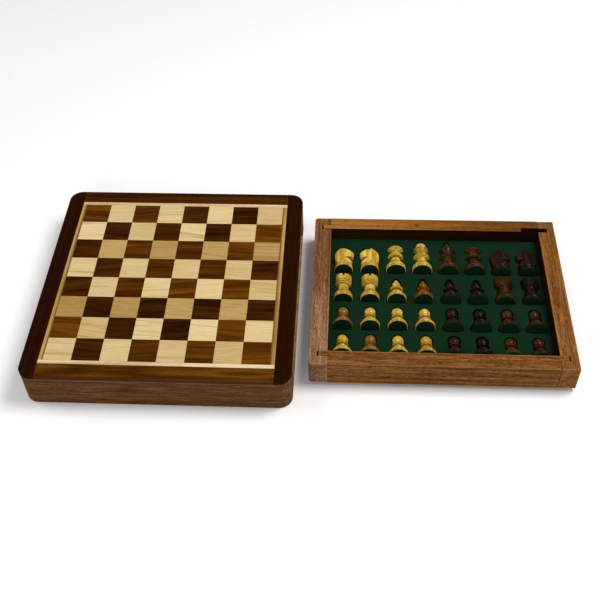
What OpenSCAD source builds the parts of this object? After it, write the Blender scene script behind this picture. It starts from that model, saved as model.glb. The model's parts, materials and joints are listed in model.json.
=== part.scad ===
// A travelling chess box: a flat board box, open at both ends, whose tray of chessmen draws out
// lengthways. Millimetres, +Z up, +X the way the tray draws out, +Y from the front wall to the back
// wall. The origin is the middle of the underside of the board box.

/* [Board box] */
// Length of the board box, the way the tray slides
box_l = 178; // [150:1:240]
// Width of the board box, front to back
box_w = 178; // [150:1:240]
// Radius of its four upright corners
corner_r = 9; // [3:0.5:14]
// Thickness of the solid front and back walls
wall_t = 19.5; // [14:0.5:26]
// Thickness of the bottom panel
bottom_t = 2.5; // [2:0.1:5]
// Thickness of the backing panel left under the steel sheet
backing_t = 2; // [1.2:0.1:4]
// How far the bottom and backing panels reach into each wall, at least
seat_w = 8; // [4:0.5:12]

/* [Playing board] */
// Thickness of the squares, the inlay and the frame strips
top_t = 2.2; // [1.5:0.1:4]
// Thickness of the steel sheet that the magnets hold to
steel_t = 0.5; // [0.3:0.1:1]
// Least width of the frame strips round the board
frame_w = 11.5; // [6:0.5:16]
// Width of the light inlay strip round the squares
inlay_w = 3; // [1:0.5:6]

/* [Tray] */
// Thickness of the two end rails
end_rail_t = 12.2; // [9:0.1:16]
// Thickness of the front and back rails
side_rail_t = 11.2; // [8:0.1:15]
// Radius of the outer upright corners of the pull end rail
end_round_r = 2.5; // [0.5:0.5:4]
// Radius of those of the far end rail, which are only eased
far_round_r = 0.3; // [0.1:0.1:4]
// Thickness of the tray's bottom panel
tray_bottom_t = 3; // [2:0.1:4]
// How far the tray's bottom panel reaches into each rail
tray_seat_w = 4; // [2:0.5:5]
// Thickness of the foam that the men lie in
foam_t = 5.9; // [4:0.1:8]
// Thickness of the felt on the foam
felt_t = 1; // [0.6:0.1:2]
// Height of the rim above the widest lying man
rim_over = 2.2; // [0.6:0.1:4]
// Thickness of the tongues that join the front and back rails to the end rails
tongue_t = 4; // [3:0.1:5]
// Length of a tongue
tongue_l = 5.7; // [3:0.1:8]
// Room left in a slot past the end of its tongue
slot_room = 1.3; // [0.2:0.1:2]
// Length of the broken notch at the back rail's far end, where the tongue is gone
broken_l = 12; // [4:0.5:20]

/* [Fits] */
// Gap between the tray and each wall
side_gap = 0.5; // [0.3:0.1:1.5]
// Gap under the tray
under_gap = 0.2; // [0.1:0.1:1]
// Gap over the tray
over_gap = 0.3; // [0.2:0.1:1]
// How far each end of the closed tray lies inside the box's end
end_inset = 1; // [0:0.5:4]
// Gap between the box and the tray when it is drawn out
out_gap = 10; // [4:1:40]
// Gap between a tongue or panel and its slot
joint_gap = 0.05; // [0.02:0.01:0.2]
// Gap between the lining and the rails
lining_gap = 0.3; // [0.1:0.1:1]
// Cut between two strips of foam
foam_cut = 0.05; // [0.02:0.01:0.2]
// Gap between a man and the wall of its pocket
pocket_gap = 1; // [0.6:0.1:1.2]
// Gap between a man and the tray's bottom panel
lie_gap = 0.2; // [0.1:0.1:0.5]
// Gap between the outer men and the end rails
end_margin = 2.4; // [1:0.1:6]
// Gap between the front pawns' feet and the front rail
foot_margin = 3.3; // [1.5:0.1:6]
// Gap between the tallest man and the back rail
head_margin = 2; // [1.2:0.1:6]
// Saw gap round each square
saw_gap = 0.02; // [0.01:0.01:0.1]
// Glue between a man's base, its magnet and its pad
glue_gap = 0.02; // [0.01:0.01:0.05]

/* [Chessmen] */
// Side of the square that the sizes of the men are drawn for
drawn_square = 18.625; // [12:0.005:30]
// Height of a king, without its finial
king_h = 28.4; // [24:0.1:34]
// Base diameter of a king
king_d = 14.4; // [13:0.1:18]
// Height of the dark king's finial
finial_h = 4; // [2:0.1:6]
// Height of a queen
queen_h = 26.2; // [22:0.1:31]
// Base diameter of a queen
queen_d = 14.4; // [13:0.1:18]
// Height of a bishop
bishop_h = 22.8; // [19:0.1:27]
// Base diameter of a bishop
bishop_d = 13.7; // [12:0.1:17]
// Height of a rook
rook_h = 21.5; // [19:0.1:27]
// Base diameter of a rook
rook_d = 13.6; // [12:0.1:17]
// Height of a knight
knight_h = 23.6; // [20:0.1:27]
// Base diameter of a knight
knight_d = 13.5; // [12:0.1:17]
// Thickness of a knight's carved head
knight_t = 8; // [4:0.1:10]
// Height of a pawn
pawn_h = 19.9; // [16:0.1:23]
// Base diameter of a pawn
pawn_d = 13.9; // [12:0.1:17]
// Diameter of the magnet in each base
magnet_d = 6; // [3:0.5:8]
// Thickness of that magnet
magnet_t = 1.8; // [1:0.1:3]
// Gap round a magnet in its bore
magnet_gap = 0.05; // [0.02:0.01:0.2]
// Thickness of the felt pad under each base
pad_t = 0.6; // [0.3:0.1:1]
// How far the pad stays inside the base's rim
pad_inset = 0.4; // [0.1:0.1:1]

/* [Hidden] */
$fn = 48;
SHELL_NODES = ["wall_front", "wall_back", "bottom_panel", "backing_panel", "steel_sheet",
  "frame_left", "frame_right", "frame_front", "frame_back",
  "inlay_left", "inlay_right", "inlay_front", "inlay_back", "light_squares", "dark_squares"];
TRAY_NODES = ["end_rail_pull", "end_rail_far", "side_rail_front", "side_rail_back",
  "tray_bottom", "felt_lining"];
// One strip of foam under each row of men, counted from the back rail
FOAM_NODES = ["pocket_foam_1", "pocket_foam_2", "pocket_foam_3", "pocket_foam_4"];

// The men in their pockets, from the back rail to the front rail. A pair of knights faces each other.
ROWS = [["knight", "knight", "queen", "king", "king", "queen", "knight", "knight"],
  ["rook", "rook", "bishop", "bishop", "bishop", "bishop", "rook", "rook"],
  ["pawn", "pawn", "pawn", "pawn", "pawn", "pawn", "pawn", "pawn"],
  ["pawn", "pawn", "pawn", "pawn", "pawn", "pawn", "pawn", "pawn"]];
side = function(c) c < 4 ? "light" : "dark";
// How many men of the same kind and colour come before this place, counting along the rows
before = function(r, c) len([for (i = [0 : r], j = [0 : 7])
  if (8 * i + j < 8 * r + c && ROWS[i][j] == ROWS[r][c] && side(j) == side(c)) 1]);
single = function(kind) kind == "king" || kind == "queen";
MEN = [for (r = [0 : 3], c = [0 : 7]) [
  str(side(c), "_", ROWS[r][c], single(ROWS[r][c]) ? "" : str("_", before(r, c) + 1)), r, c]];

// Playing board
square = (min(box_l, box_w) - 2 * (frame_w + inlay_w)) / 8;
board = 8 * square;
inlaid = board + 2 * inlay_w;

// Chessmen, scaled with the squares
man_k = square / drawn_square;
HEIGHTS = [["king", king_h], ["queen", queen_h], ["bishop", bishop_h], ["rook", rook_h],
  ["knight", knight_h], ["pawn", pawn_h]];
DIAMETERS = [["king", king_d], ["queen", queen_d], ["bishop", bishop_d], ["rook", rook_d],
  ["knight", knight_d], ["pawn", pawn_d]];
pick = function(table, key) [for (row = table) if (row[0] == key) row[1]][0];
height = function(kind) man_k * pick(HEIGHTS, kind);
base_r = function(kind) man_k * pick(DIAMETERS, kind) / 2;
widest_r = max([for (row = DIAMETERS) row[1]]) * man_k / 2;
finial = man_k * finial_h;
knight_half = man_k * knight_t / 2;

// Heights in the tray and in the box
tray_h = tray_bottom_t + lie_gap + 2 * widest_r + rim_over;
felt_z = tray_bottom_t + foam_t + felt_t;
cavity_h = under_gap + tray_h + over_gap;
ceiling_z = bottom_t + cavity_h;
steel_z = ceiling_z + backing_t;
board_z = steel_z + steel_t;
box_h = board_z + top_t;

// Plan of the tray
cavity_w = box_w - 2 * wall_t;
bottom_w = cavity_w + 2 * seat_w;
// The backing panel lies under the whole inlaid board as well as in both walls
backing_w = max(bottom_w, inlaid);
tray_w = cavity_w - 2 * side_gap;
tray_l = box_l - 2 * end_inset;
inner_l = tray_l - 2 * end_rail_t;
inner_w = tray_w - 2 * side_rail_t;
slot_d = tongue_l + slot_room;
tray_x = box_l / 2 + out_gap + tray_l / 2;
tray_z = bottom_t + under_gap;

// Places of the men: eight even columns, and four rows with even gaps between them
pitch_x = (inner_l - 2 * end_margin - 2 * widest_r) / 7;
man_x = function(c) -inner_l / 2 + end_margin + widest_r + c * pitch_x;
row_h = [height("king") + finial, max(height("bishop"), height("rook")), height("pawn"), height("pawn")];
row_gap = (inner_w - head_margin - foot_margin - row_h[0] - row_h[1] - row_h[2] - row_h[3]) / 3;
foot_y = function(r) r == 0 ? inner_w / 2 - head_margin - row_h[0] : foot_y(r - 1) - row_gap - row_h[r];

// Turned outlines, from the foot up: share of the base radius, share of the height
KING = [[1, 0], [1, .05], [.94, .08], [.99, .12], [.9, .17], [.73, .215], [.68, .235], [.74, .255],
  [.66, .28], [.57, .305], [.47, .47], [.58, .5], [.82, .53], [.82, .55], [.58, .605], [.52, .66],
  [.78, .77], [.78, .79], [.54, .8], [.55, .97], [.45, 1]];
QUEEN = [[1, 0], [1, .055], [.95, .08], [.99, .12], [.9, .17], [.72, .225], [.7, .25], [.77, .275],
  [.7, .3], [.54, .325], [.47, .5], [.55, .545], [.79, .575], [.79, .595], [.56, .65], [.5, .69],
  [.43, .78], [.79, .845], [.79, .865], [.35, .88], [.15, .9]];
BISHOP = [[1, 0], [1, .065], [.94, .09], [.98, .14], [.88, .195], [.7, .25], [.66, .28], [.7, .305],
  [.62, .33], [.44, .36], [.39, .5], [.62, .545], [.62, .565], [.46, .6], [.47, .635], [.4, .665],
  [.5, .71], [.53, .76], [.48, .82], [.34, .88], [.2, .915]];
ROOK = [[1, 0], [1, .065], [.95, .09], [.99, .14], [.9, .19], [.75, .245], [.7, .27], [.75, .295],
  [.68, .32], [.64, .35], [.58, .54], [.7, .57], [.75, .6], [.7, .63], [.78, .66], [.84, .69],
  [.82, .71], [.88, .74], [.91, 1], [.62, 1], [.62, .9]];
PAWN = [[1, 0], [1, .07], [.94, .1], [.98, .15], [.9, .21], [.72, .28], [.66, .31], [.7, .335],
  [.6, .365], [.46, .43], [.4, .5], [.46, .53], [.6, .555], [.6, .575], [.42, .62], [.36, .66]];
KNIGHT = [[1, 0], [1, .06], [.95, .085], [.98, .13], [.92, .17], [.94, .2], [.86, .235], [.92, .265],
  [.94, .285], [.9, .3]];
TURNINGS = [["king", KING], ["queen", QUEEN], ["bishop", BISHOP], ["rook", ROOK], ["pawn", PAWN],
  ["knight", KNIGHT]];
turning = function(kind) [for (p = pick(TURNINGS, kind)) [p[0] * base_r(kind), p[1] * height(kind)]];
// Radius of the ball on top, as a share of the base radius
BALLS = [["queen", .29], ["bishop", .23], ["pawn", .555]];
ball_r = function(kind) pick(BALLS, kind) * base_r(kind);
// The finial: shares of the king's base radius and of its own height, and the half width of its pocket
FINIAL = [[.17, .1], [.22, .45], [.06, 1]];
finial_room = .35;
// Share of the rook's height where the well in its top starts, and width of a notch in its rim as a
// share of its base radius
crown_hollow = .9;
notch_w = .22;
// The horse's head seen from its side, facing -X: shares of the base radius and of the height
HORSE = [[-.93, .29], [-.27, .56], [-.33, .585], [-.98, .555], [-1.08, .61], [-1.06, .73], [-.5, .92],
  [-.18, .905], [.05, 1], [.5, .91], [.87, .755], [.99, .61], [.97, .42], [.93, .29]];

// Pocket outlines: half width as a share of the base radius, share of the height
POCKETS = [["king", [[1, 0], [1, .16], [.82, .27], [.82, .8], [.6, .84], [.6, 1]]],
  ["queen", [[1, 0], [1, .17], [.8, .27], [.8, .9], [.4, .93], [.4, 1]]],
  ["bishop", [[1, 0], [1, .2], [.64, .36], [.64, .6], [.54, .84], [.3, .93], [.3, 1]]],
  ["rook", [[1, 0], [1, .2], [.78, .34], [.78, .62], [.93, .7], [.93, 1]]],
  ["pawn", [[1, 0], [1, .2], [.62, .42], [.56, .62], [.56, 1]]]];
HORSE_POCKET = [[-1, 0], [-1, .29], [-1.1, .5], [-1.1, .74], [-.5, .94], [0, 1], [.5, .94], [.94, .77],
  [1, .6], [1, 0]];

// How far a man leans, head down, when it lies on its base rim and its widest upper part
lean = function(kind) kind == "knight" ? atan((base_r(kind) - knight_half) / height(kind))
  : min([for (p = concat(turning(kind), kind == "pawn" ? [[ball_r(kind), height(kind) - ball_r(kind)]] : []))
    if (p[1] > height(kind) / 3) atan((base_r(kind) - p[0]) / p[1])]);
// Height of the centre of the foot above what the man lies on
rise = function(kind) max(concat([for (p = turning(kind)) p[0] * cos(lean(kind)) + p[1] * sin(lean(kind))],
  kind == "pawn" ? [ball_r(kind) + (height(kind) - ball_r(kind)) * sin(lean(kind))] : [],
  kind == "knight" ? [knight_half * cos(lean(kind)) + height(kind) * sin(lean(kind))] : []));

// How far the low side of a leaning man's foot reaches past the centre of the foot
foot_reach = function(kind) base_r(kind) * sin(lean(kind));
row_reach = function(r) max([for (kind = ROWS[r]) foot_reach(kind)]);
// Where the foam is cut between the feet of one row and the heads of the next
strip_end = function(r) r == 0 ? inner_w / 2 - lining_gap : r == 4 ? lining_gap - inner_w / 2
  : (foot_y(r - 1) - row_reach(r - 1) + foot_y(r) + row_h[r]) / 2;

module box_outline() {
  square([box_l - 2 * corner_r, box_w], center = true);
  square([box_l, box_w - 2 * corner_r], center = true);
  for (x = [-1, 1], y = [-1, 1])
    translate([x * (box_l / 2 - corner_r), y * (box_w / 2 - corner_r)]) circle(corner_r);
}

// A slab from z0 to z1 of the box's plan, kept between the given corners
module slab(from, to, z0, z1) {
  translate([0, 0, z0]) linear_extrude(z1 - z0) intersection() {
    box_outline();
    translate(from) square(to - from);
  }
}

module panel(l, w, z0, z1) { translate([-l / 2, -w / 2, z0]) cube([l, w, z1 - z0]); }

// Front wall for way = -1, back wall for way = 1, with a rebate for each panel
module wall(way) {
  inner = cavity_w / 2;
  color("saddlebrown") difference() {
    slab([-box_l / 2, way < 0 ? -box_w / 2 : inner], [box_l / 2, way < 0 ? -inner : box_w / 2], 0, board_z);
    panel(box_l + 2, bottom_w, -1, bottom_t);
    panel(box_l + 2, backing_w, ceiling_z, board_z + 1);
  }
}
module wall_front() { wall(-1); }
module wall_back() { wall(1); }
module bottom_panel() { color("burlywood") panel(box_l, bottom_w, 0, bottom_t); }
module backing_panel() {
  color("burlywood") difference() {
    panel(box_l, backing_w, ceiling_z, board_z);
    panel(board, board, steel_z, board_z + 1);
  }
}
module steel_sheet() {
  color("silver") panel(board - 2 * joint_gap, board - 2 * joint_gap, steel_z, board_z);
}

// The strips of the frame: the left and right ones run from front to back, corners and all
module frame_end(way) {
  x0 = way < 0 ? -box_l / 2 : inlaid / 2;
  slab([x0, -box_w / 2], [x0 + (box_l - inlaid) / 2, box_w / 2], board_z, box_h);
}
module frame_side(way) {
  y0 = way < 0 ? -box_w / 2 : inlaid / 2;
  slab([-inlaid / 2, y0], [inlaid / 2, y0 + (box_w - inlaid) / 2], board_z, box_h);
}
module frame_left() { color([.16, .06, .04]) frame_end(-1); }
module frame_right() { color([.16, .06, .04]) frame_end(1); }
module frame_front() { color([.55, .33, .14]) frame_side(-1); }
module frame_back() { color([.28, .14, .07]) frame_side(1); }

// The light strips: the front and back ones run the full length of the inlay
module inlay_end(way) {
  translate([way * (board + inlay_w) / 2, 0, 0]) panel(inlay_w, board, board_z, box_h);
}
module inlay_side(way) {
  translate([0, way * (board + inlay_w) / 2, 0]) panel(inlaid, inlay_w, board_z, box_h);
}
module inlay_left() { color([.9, .8, .58]) inlay_end(-1); }
module inlay_right() { color([.9, .8, .58]) inlay_end(1); }
module inlay_front() { color([.9, .8, .58]) inlay_side(-1); }
module inlay_back() { color([.9, .8, .58]) inlay_side(1); }

// Every other square, counting from the front left corner, where parity 0 starts
module squares(parity) {
  cut = square - 2 * saw_gap;
  for (i = [0 : 7], j = [0 : 7]) if ((i + j) % 2 == parity)
    translate([(i - 3.5) * square, (j - 3.5) * square, 0]) panel(cut, cut, board_z, box_h);
}
module light_squares() { color([.86, .76, .55]) squares(0); }
module dark_squares() { color([.3, .14, .07]) squares(1); }

// What lies in the tray is drawn round the middle of its underside
module in_tray() { translate([tray_x, 0, tray_z]) children(); }

// The room that the tray's bottom panel takes, with the given gap round it
module tray_panel(gap) {
  panel(inner_l + 2 * (tray_seat_w + gap), inner_w + 2 * (tray_seat_w + gap), -gap * 2, tray_bottom_t);
}

// A slot for each tongue runs down an end rail's inner face, just outside the tray's inside
module end_rail(way, round_r) {
  x0 = way < 0 ? -tray_l / 2 : tray_l / 2 - end_rail_t;
  face = way * inner_l / 2;
  difference() {
    linear_extrude(tray_h) difference() {
      translate([x0, -tray_w / 2]) square([end_rail_t, tray_w]);
      for (y = [-1, 1]) corner_cut(way * tray_l / 2, y * tray_w / 2, way, y, round_r);
    }
    for (y = [-1, 1])
      translate([face + way * slot_d / 2, y * (inner_w + tongue_t) / 2, tray_h / 2])
        cube([slot_d, tongue_t + 2 * joint_gap, tray_h + 2], center = true);
    tray_panel(joint_gap);
  }
}
// What rounding takes off an upright corner at (x, y) that points the way of (sx, sy)
module corner_cut(x, y, sx, sy, r) {
  translate([x - sx * r, y - sy * r]) difference() {
    translate([sx < 0 ? -r - 1 : 0, sy < 0 ? -r - 1 : 0]) square(r + 1);
    circle(r);
  }
}
module end_rail_pull() { color([.5, .32, .26]) in_tray() end_rail(-1, end_round_r); }
module end_rail_far() { color([.58, .38, .18]) in_tray() end_rail(1, far_round_r); }

// A front or back rail between the end rails, with a tongue at each end unless it is broken off there
module side_rail(way, broken) {
  inside = way * inner_w / 2;
  difference() {
    union() {
      translate([0, inside + way * side_rail_t / 2, tray_h / 2])
        cube([inner_l, side_rail_t, tray_h], center = true);
      for (x = broken ? [-1] : [-1, 1])
        translate([x * (inner_l + tongue_l - 1) / 2, inside + way * tongue_t / 2, tray_h / 2])
          cube([tongue_l + 1, tongue_t, tray_h], center = true);
    }
    if (broken) translate([inner_l / 2, inside + way * (tongue_t / 2 - 1), tray_h / 2])
      cube([2 * broken_l, tongue_t + 2, tray_h + 2], center = true);
    tray_panel(joint_gap);
  }
}
module side_rail_front() { color([.55, .34, .16]) in_tray() side_rail(-1, false); }
module side_rail_back() { color([.6, .4, .18]) in_tray() side_rail(1, true); }
module tray_bottom() { color("burlywood") in_tray() tray_panel(0); }

// The plan of one pocket, with its foot at the origin and its head towards +Y
module pocket(kind, flip) {
  r = base_r(kind);
  h = height(kind);
  // A cut end lies a gap beyond the man, and a share in between stays where it is
  along = function(share) share == 0 ? -foot_reach(kind) - pocket_gap
    : share >= 1 ? share * h + pocket_gap : share * h;
  if (kind == "knight") mirror([flip ? 1 : 0, 0])
    polygon([for (p = HORSE_POCKET) [p[0] * r + sign(p[0]) * pocket_gap, along(p[1])]]);
  else {
    half = [for (p = pick(POCKETS, kind)) [p[0] * r + pocket_gap, along(p[1])]];
    last = len(half) - 1;
    polygon(concat(half, [for (i = [0 : last]) [-half[last - i][0], half[last - i][1]]]));
  }
}
module finial_pocket() {
  w = base_r("king") * finial_room + pocket_gap;
  translate([-w, height("king")]) square([2 * w, finial + pocket_gap]);
}
faces_right = function(c) c % 2 == 0;
// The lining from front to back between y0 and y1, with the pockets cut through it
module lining(y0, y1, z0, z1) {
  l = inner_l - 2 * lining_gap;
  translate([0, 0, z0]) linear_extrude(z1 - z0) difference() {
    translate([-l / 2, y0]) square([l, y1 - y0]);
    for (m = MEN) translate([man_x(m[2]), foot_y(m[1])]) {
      pocket(ROWS[m[1]][m[2]], faces_right(m[2]));
      if (m[0] == "dark_king") finial_pocket();
    }
  }
}
module foam_strip(r) {
  color([.1, .1, .1]) in_tray() lining(strip_end(r + 1) + (r < 3 ? foam_cut / 2 : 0),
    strip_end(r) - (r > 0 ? foam_cut / 2 : 0), tray_bottom_t, tray_bottom_t + foam_t);
}
module felt_lining() {
  color([.05, .16, .09]) in_tray() lining(strip_end(4), strip_end(0), tray_bottom_t + foam_t, felt_z);
}

// Men stand here with the foot at z = 0. The pad is the lowest part of the height.
module turned(kind, extra = []) {
  outline = turning(kind);
  rotate_extrude() polygon(concat([[0, pad_t], [base_r(kind), pad_t]],
    [for (p = outline) if (p[1] > pad_t) p], extra, [[0, len(extra) > 0 ? extra[len(extra) - 1][1]
      : outline[len(outline) - 1][1]]]));
}
module top_ball(kind) { translate([0, 0, height(kind) - ball_r(kind)]) sphere(ball_r(kind)); }
module horse_head() {
  r = base_r("knight");
  h = height("knight");
  rotate([90, 0, 0]) linear_extrude(2 * knight_half, center = true)
    polygon([for (p = HORSE) [p[0] * r, p[1] * h]]);
}
module rook_notches() {
  w = notch_w * base_r("rook");
  h = height("rook");
  for (a = [0, 90]) rotate(a) translate([-base_r("rook"), -w / 2, crown_hollow * h])
    cube([2 * base_r("rook"), w, h]);
}
module shaped(kind, crowned) {
  h = height(kind);
  if (kind == "knight") { turned(kind); horse_head(); }
  else if (kind == "rook") difference() { turned(kind); rook_notches(); }
  else if (kind == "king") turned(kind,
    crowned ? [for (p = FINIAL) [p[0] * base_r(kind), h + p[1] * finial]] : []);
  else { turned(kind); top_ball(kind); }
}
// The magnet, or with a gap the blind bore that takes it
module magnet(gap) {
  translate([0, 0, pad_t - gap]) cylinder(h = magnet_t + gap * 2, r = man_k * magnet_d / 2 + gap);
}

// One man lying in its pocket: the wooden man, its magnet and its pad
module man(m) {
  kind = ROWS[m[1]][m[2]];
  wood = side(m[2]) == "light" ? [.87, .66, .27] : [.25, .08, .05];
  in_tray() translate([man_x(m[2]), foot_y(m[1]), tray_bottom_t + lie_gap + rise(kind)])
    rotate([-90 - lean(kind), 0, 0]) mirror([kind == "knight" && faces_right(m[2]) ? 1 : 0, 0, 0]) {
      color(wood) difference() { shaped(kind, m[0] == "dark_king"); magnet(magnet_gap); }
      color("silver") magnet(0);
      color([.05, .16, .09]) cylinder(h = pad_t - glue_gap, r = base_r(kind) - pad_inset);
    }
}

wall_front();
wall_back();
bottom_panel();
backing_panel();
steel_sheet();
frame_left();
frame_right();
frame_front();
frame_back();
inlay_left();
inlay_right();
inlay_front();
inlay_back();
light_squares();
dark_squares();
end_rail_pull();
end_rail_far();
side_rail_front();
side_rail_back();
tray_bottom();
felt_lining();
for (r = [0 : 3]) foam_strip(r);
for (m = MEN) man(m);
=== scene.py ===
# %% [markdown]
# A travelling chess box, made in cells. The box is a flat board with an inlaid top, open at both ends.
# Its tray draws out lengthways and holds the thirty-two men, each lying in a pocket of dark green felt.
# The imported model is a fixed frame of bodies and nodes. Everything here is placed from that frame, in
# metres, and rides on one of its bodies, so the finished pieces follow every joint.

# %% The frame
import json
import math

import bmesh
import bpy
import numpy as np
from mathutils import Matrix, Vector


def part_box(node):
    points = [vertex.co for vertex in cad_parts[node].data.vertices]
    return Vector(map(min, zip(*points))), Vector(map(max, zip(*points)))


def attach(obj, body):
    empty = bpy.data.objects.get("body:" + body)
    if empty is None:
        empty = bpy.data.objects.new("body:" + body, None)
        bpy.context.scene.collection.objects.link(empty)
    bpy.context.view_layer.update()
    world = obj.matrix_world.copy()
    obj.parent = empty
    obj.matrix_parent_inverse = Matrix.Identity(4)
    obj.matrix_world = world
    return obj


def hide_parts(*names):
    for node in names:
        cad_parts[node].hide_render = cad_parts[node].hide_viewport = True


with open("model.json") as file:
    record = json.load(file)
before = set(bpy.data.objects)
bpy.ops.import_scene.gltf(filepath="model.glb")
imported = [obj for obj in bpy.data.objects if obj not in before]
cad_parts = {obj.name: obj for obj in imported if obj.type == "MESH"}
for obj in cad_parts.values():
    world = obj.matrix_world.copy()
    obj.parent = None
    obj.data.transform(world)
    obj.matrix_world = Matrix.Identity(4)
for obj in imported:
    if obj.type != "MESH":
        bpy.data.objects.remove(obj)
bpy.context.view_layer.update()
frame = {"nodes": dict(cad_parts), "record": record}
MM = 0.001

# %% [markdown]
# Materials and Geometry Nodes are both graphs of nodes, so one small class can build either. A Socket
# wraps one output, and arithmetic on it adds a Math node, which lets a formula be written as a formula.
# Every other node comes from the one method `node`, which sets the settings first and then the inputs.

# %% A socket that can be calculated with
class Socket:
    """One output of a node. Arithmetic with numbers or other sockets adds Math nodes to its graph."""

    def __init__(self, graph, output):
        self.graph = graph
        self.output = output

    def other(self, name):
        """Another output of the same node."""
        return Socket(self.graph, self.output.node.outputs[name])

    def math(self, operation, *values):
        """A Math node that takes this socket first, and then the values."""
        return self.graph.node("ShaderNodeMath", {"operation": operation}, dict(enumerate((self, *values))))

    def __add__(self, value):
        return self.math("ADD", value)

    def __sub__(self, value):
        return self.math("SUBTRACT", value)

    def __rsub__(self, value):
        return self.graph.node("ShaderNodeMath", {"operation": "SUBTRACT"}, {0: value, 1: self})

    def __mul__(self, value):
        return self.math("MULTIPLY", value)

    def __truediv__(self, value):
        return self.math("DIVIDE", value)

    def __pow__(self, value):
        return self.math("POWER", value)

    def __mod__(self, value):
        return self.math("FLOORED_MODULO", value)

    def __gt__(self, value):
        return self.math("GREATER_THAN", value)

    def __lt__(self, value):
        return self.math("LESS_THAN", value)

    __radd__ = __add__
    __rmul__ = __mul__


# %% A graph that nodes are added to
class Graph:
    """A shader or geometry node tree."""

    def __init__(self, tree):
        self.tree = tree

    def node(self, kind, settings=None, values=None, output=0):
        """Adds a node: its settings first, with a ramp's stops among them, then its inputs by name or
        number."""
        made = self.tree.nodes.new(kind)
        for name, value in (settings or {}).items():
            if name == "stops":
                self.set_stops(made.color_ramp, value)
            else:
                setattr(made, name, value)
        for name, value in (values or {}).items():
            if isinstance(value, Socket):
                self.tree.links.new(value.output, made.inputs[name])
            else:
                made.inputs[name].default_value = value
        return Socket(self, made.outputs[output]) if made.outputs else made

    @staticmethod
    def set_stops(ramp, stops):
        while len(ramp.elements) < len(stops):
            ramp.elements.new(1.0)
        for element, (place, colour) in zip(ramp.elements, stops):
            element.position = place
            element.color = colour


# %% [markdown]
# Colours are easiest to judge as the numbers a screen shows, but a shader wants linear light, so one
# helper turns 0 to 255 into that. The next few helpers are the words every finish below is written in:
# a noise stretched along the grain, a soft step, and a mix of two colours.

# %% Colour and pattern helpers
def shade(red, green, blue):
    """A colour given as screen values from 0 to 255, as linear light."""
    return tuple(((c / 255) / 12.92) if c < 11 else (((c / 255) + 0.055) / 1.055) ** 2.4
                 for c in (red, green, blue)) + (1.0,)


def scaled(graph, vector, factors):
    return graph.node("ShaderNodeVectorMath", {"operation": "MULTIPLY"}, {0: vector, 1: factors})


def shifted(graph, vector, offset):
    return graph.node("ShaderNodeVectorMath", {"operation": "ADD"}, {0: vector, 1: offset})


def noise(graph, vector, factors, detail=2.0, rough=0.5):
    """Noise from 0 to 1 over a vector in millimetres, with its own number of waves a millimetre each way."""
    return graph.node("ShaderNodeTexNoise", {"noise_dimensions": "3D"},
                      {"Vector": scaled(graph, vector, factors), "Scale": 1.0, "Detail": detail,
                       "Roughness": rough})


def step(graph, value, low, high):
    """A soft step: 0 below low, 1 above high."""
    return graph.node("ShaderNodeMapRange", {"interpolation_type": "SMOOTHSTEP"},
                      {"Value": value, "From Min": low, "From Max": high})


def mixed(graph, factor, first, second, blend="MIX"):
    """Mixes two colours. The Mix node's colour inputs are numbers 6 and 7, its colour output is 2."""
    return graph.node("ShaderNodeMix", {"data_type": "RGBA", "blend_type": blend},
                      {0: factor, 6: first, 7: second}, output=2)


def toned(graph, tones, place):
    """The colour at place, from 0 to 1, on a ramp with tones evenly along it."""
    stops = [(i / (len(tones) - 1), shade(*tone)) for i, tone in enumerate(tones)]
    return graph.node("ShaderNodeValToRGB", {"stops": stops}, {0: place})


def parts_of(graph, vector):
    """The three numbers of a vector."""
    x = graph.node("ShaderNodeSeparateXYZ", {}, {0: vector})
    return x, x.other("Y"), x.other("Z")


def in_mm(graph):
    """Object coordinates in millimetres."""
    place = graph.node("ShaderNodeTexCoord", output="Object")
    return scaled(graph, place, (1000, 1000, 1000))


def new_finish(name):
    """An empty material and its graph."""
    material = bpy.data.materials.new(name)
    material.use_nodes = True
    material.node_tree.nodes.clear()
    return material, Graph(material.node_tree)


def close_finish(graph, varying, constants, height=None, relief=0.05):
    """Ends a material: what varies is linked, what doesn't is set on the shader, and height, from 0 to 1,
    gives a relief of that many mm."""
    if height is not None:
        bump = {"Strength": 1.0, "Distance": relief * MM, "Height": height}
        varying["Normal"] = graph.node("ShaderNodeBump", {}, bump)
    surface = graph.node("ShaderNodeBsdfPrincipled", {}, {**varying, **constants})
    graph.node("ShaderNodeOutputMaterial", {}, {"Surface": surface})


def placed(name, data):
    """A new object with this data, in the scene."""
    made = bpy.data.objects.new(name, data)
    bpy.context.scene.collection.objects.link(made)
    return made


# %% [markdown]
# The camera stands where the photographer stood: that place was worked out from the corners of the
# sixty-four squares. It is turned a little so that the board and the drawn-out tray share the picture.
# Its direction is given as an azimuth and an elevation, with the slight roll that the photograph has.

# %% The camera
EYE = Vector((0.1209, -0.4378, 0.5005))
AZIMUTH = math.radians(4.025)
ELEVATION = math.radians(48.34)
ROLL = math.radians(-1.86)
LENS_MM = 55.44

camera_data = bpy.data.cameras.new("studio_camera")
camera_data.lens = LENS_MM
camera = placed("studio_camera", camera_data)
ahead = Vector((-math.sin(AZIMUTH) * math.cos(ELEVATION), math.cos(AZIMUTH) * math.cos(ELEVATION),
                -math.sin(ELEVATION)))
level = ahead.cross(Vector((0, 0, 1))).normalized()
right = level * math.cos(ROLL) + level.cross(ahead) * math.sin(ROLL)
turned = Matrix((right, right.cross(ahead), -ahead)).transposed()
camera.matrix_world = Matrix.Translation(EYE) @ turned.to_4x4()
bpy.context.scene.camera = camera
print("the camera looks", [round(c, 3) for c in ahead])

# %% [markdown]
# A picture like this one is lit by large soft boxes and has a white ground. An even world gives the
# fill, and three area lights give direction: the strongest high on the right, a weaker one high on the
# left, and a low one in front that keeps the front walls readable and puts small glints on the men.

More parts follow.
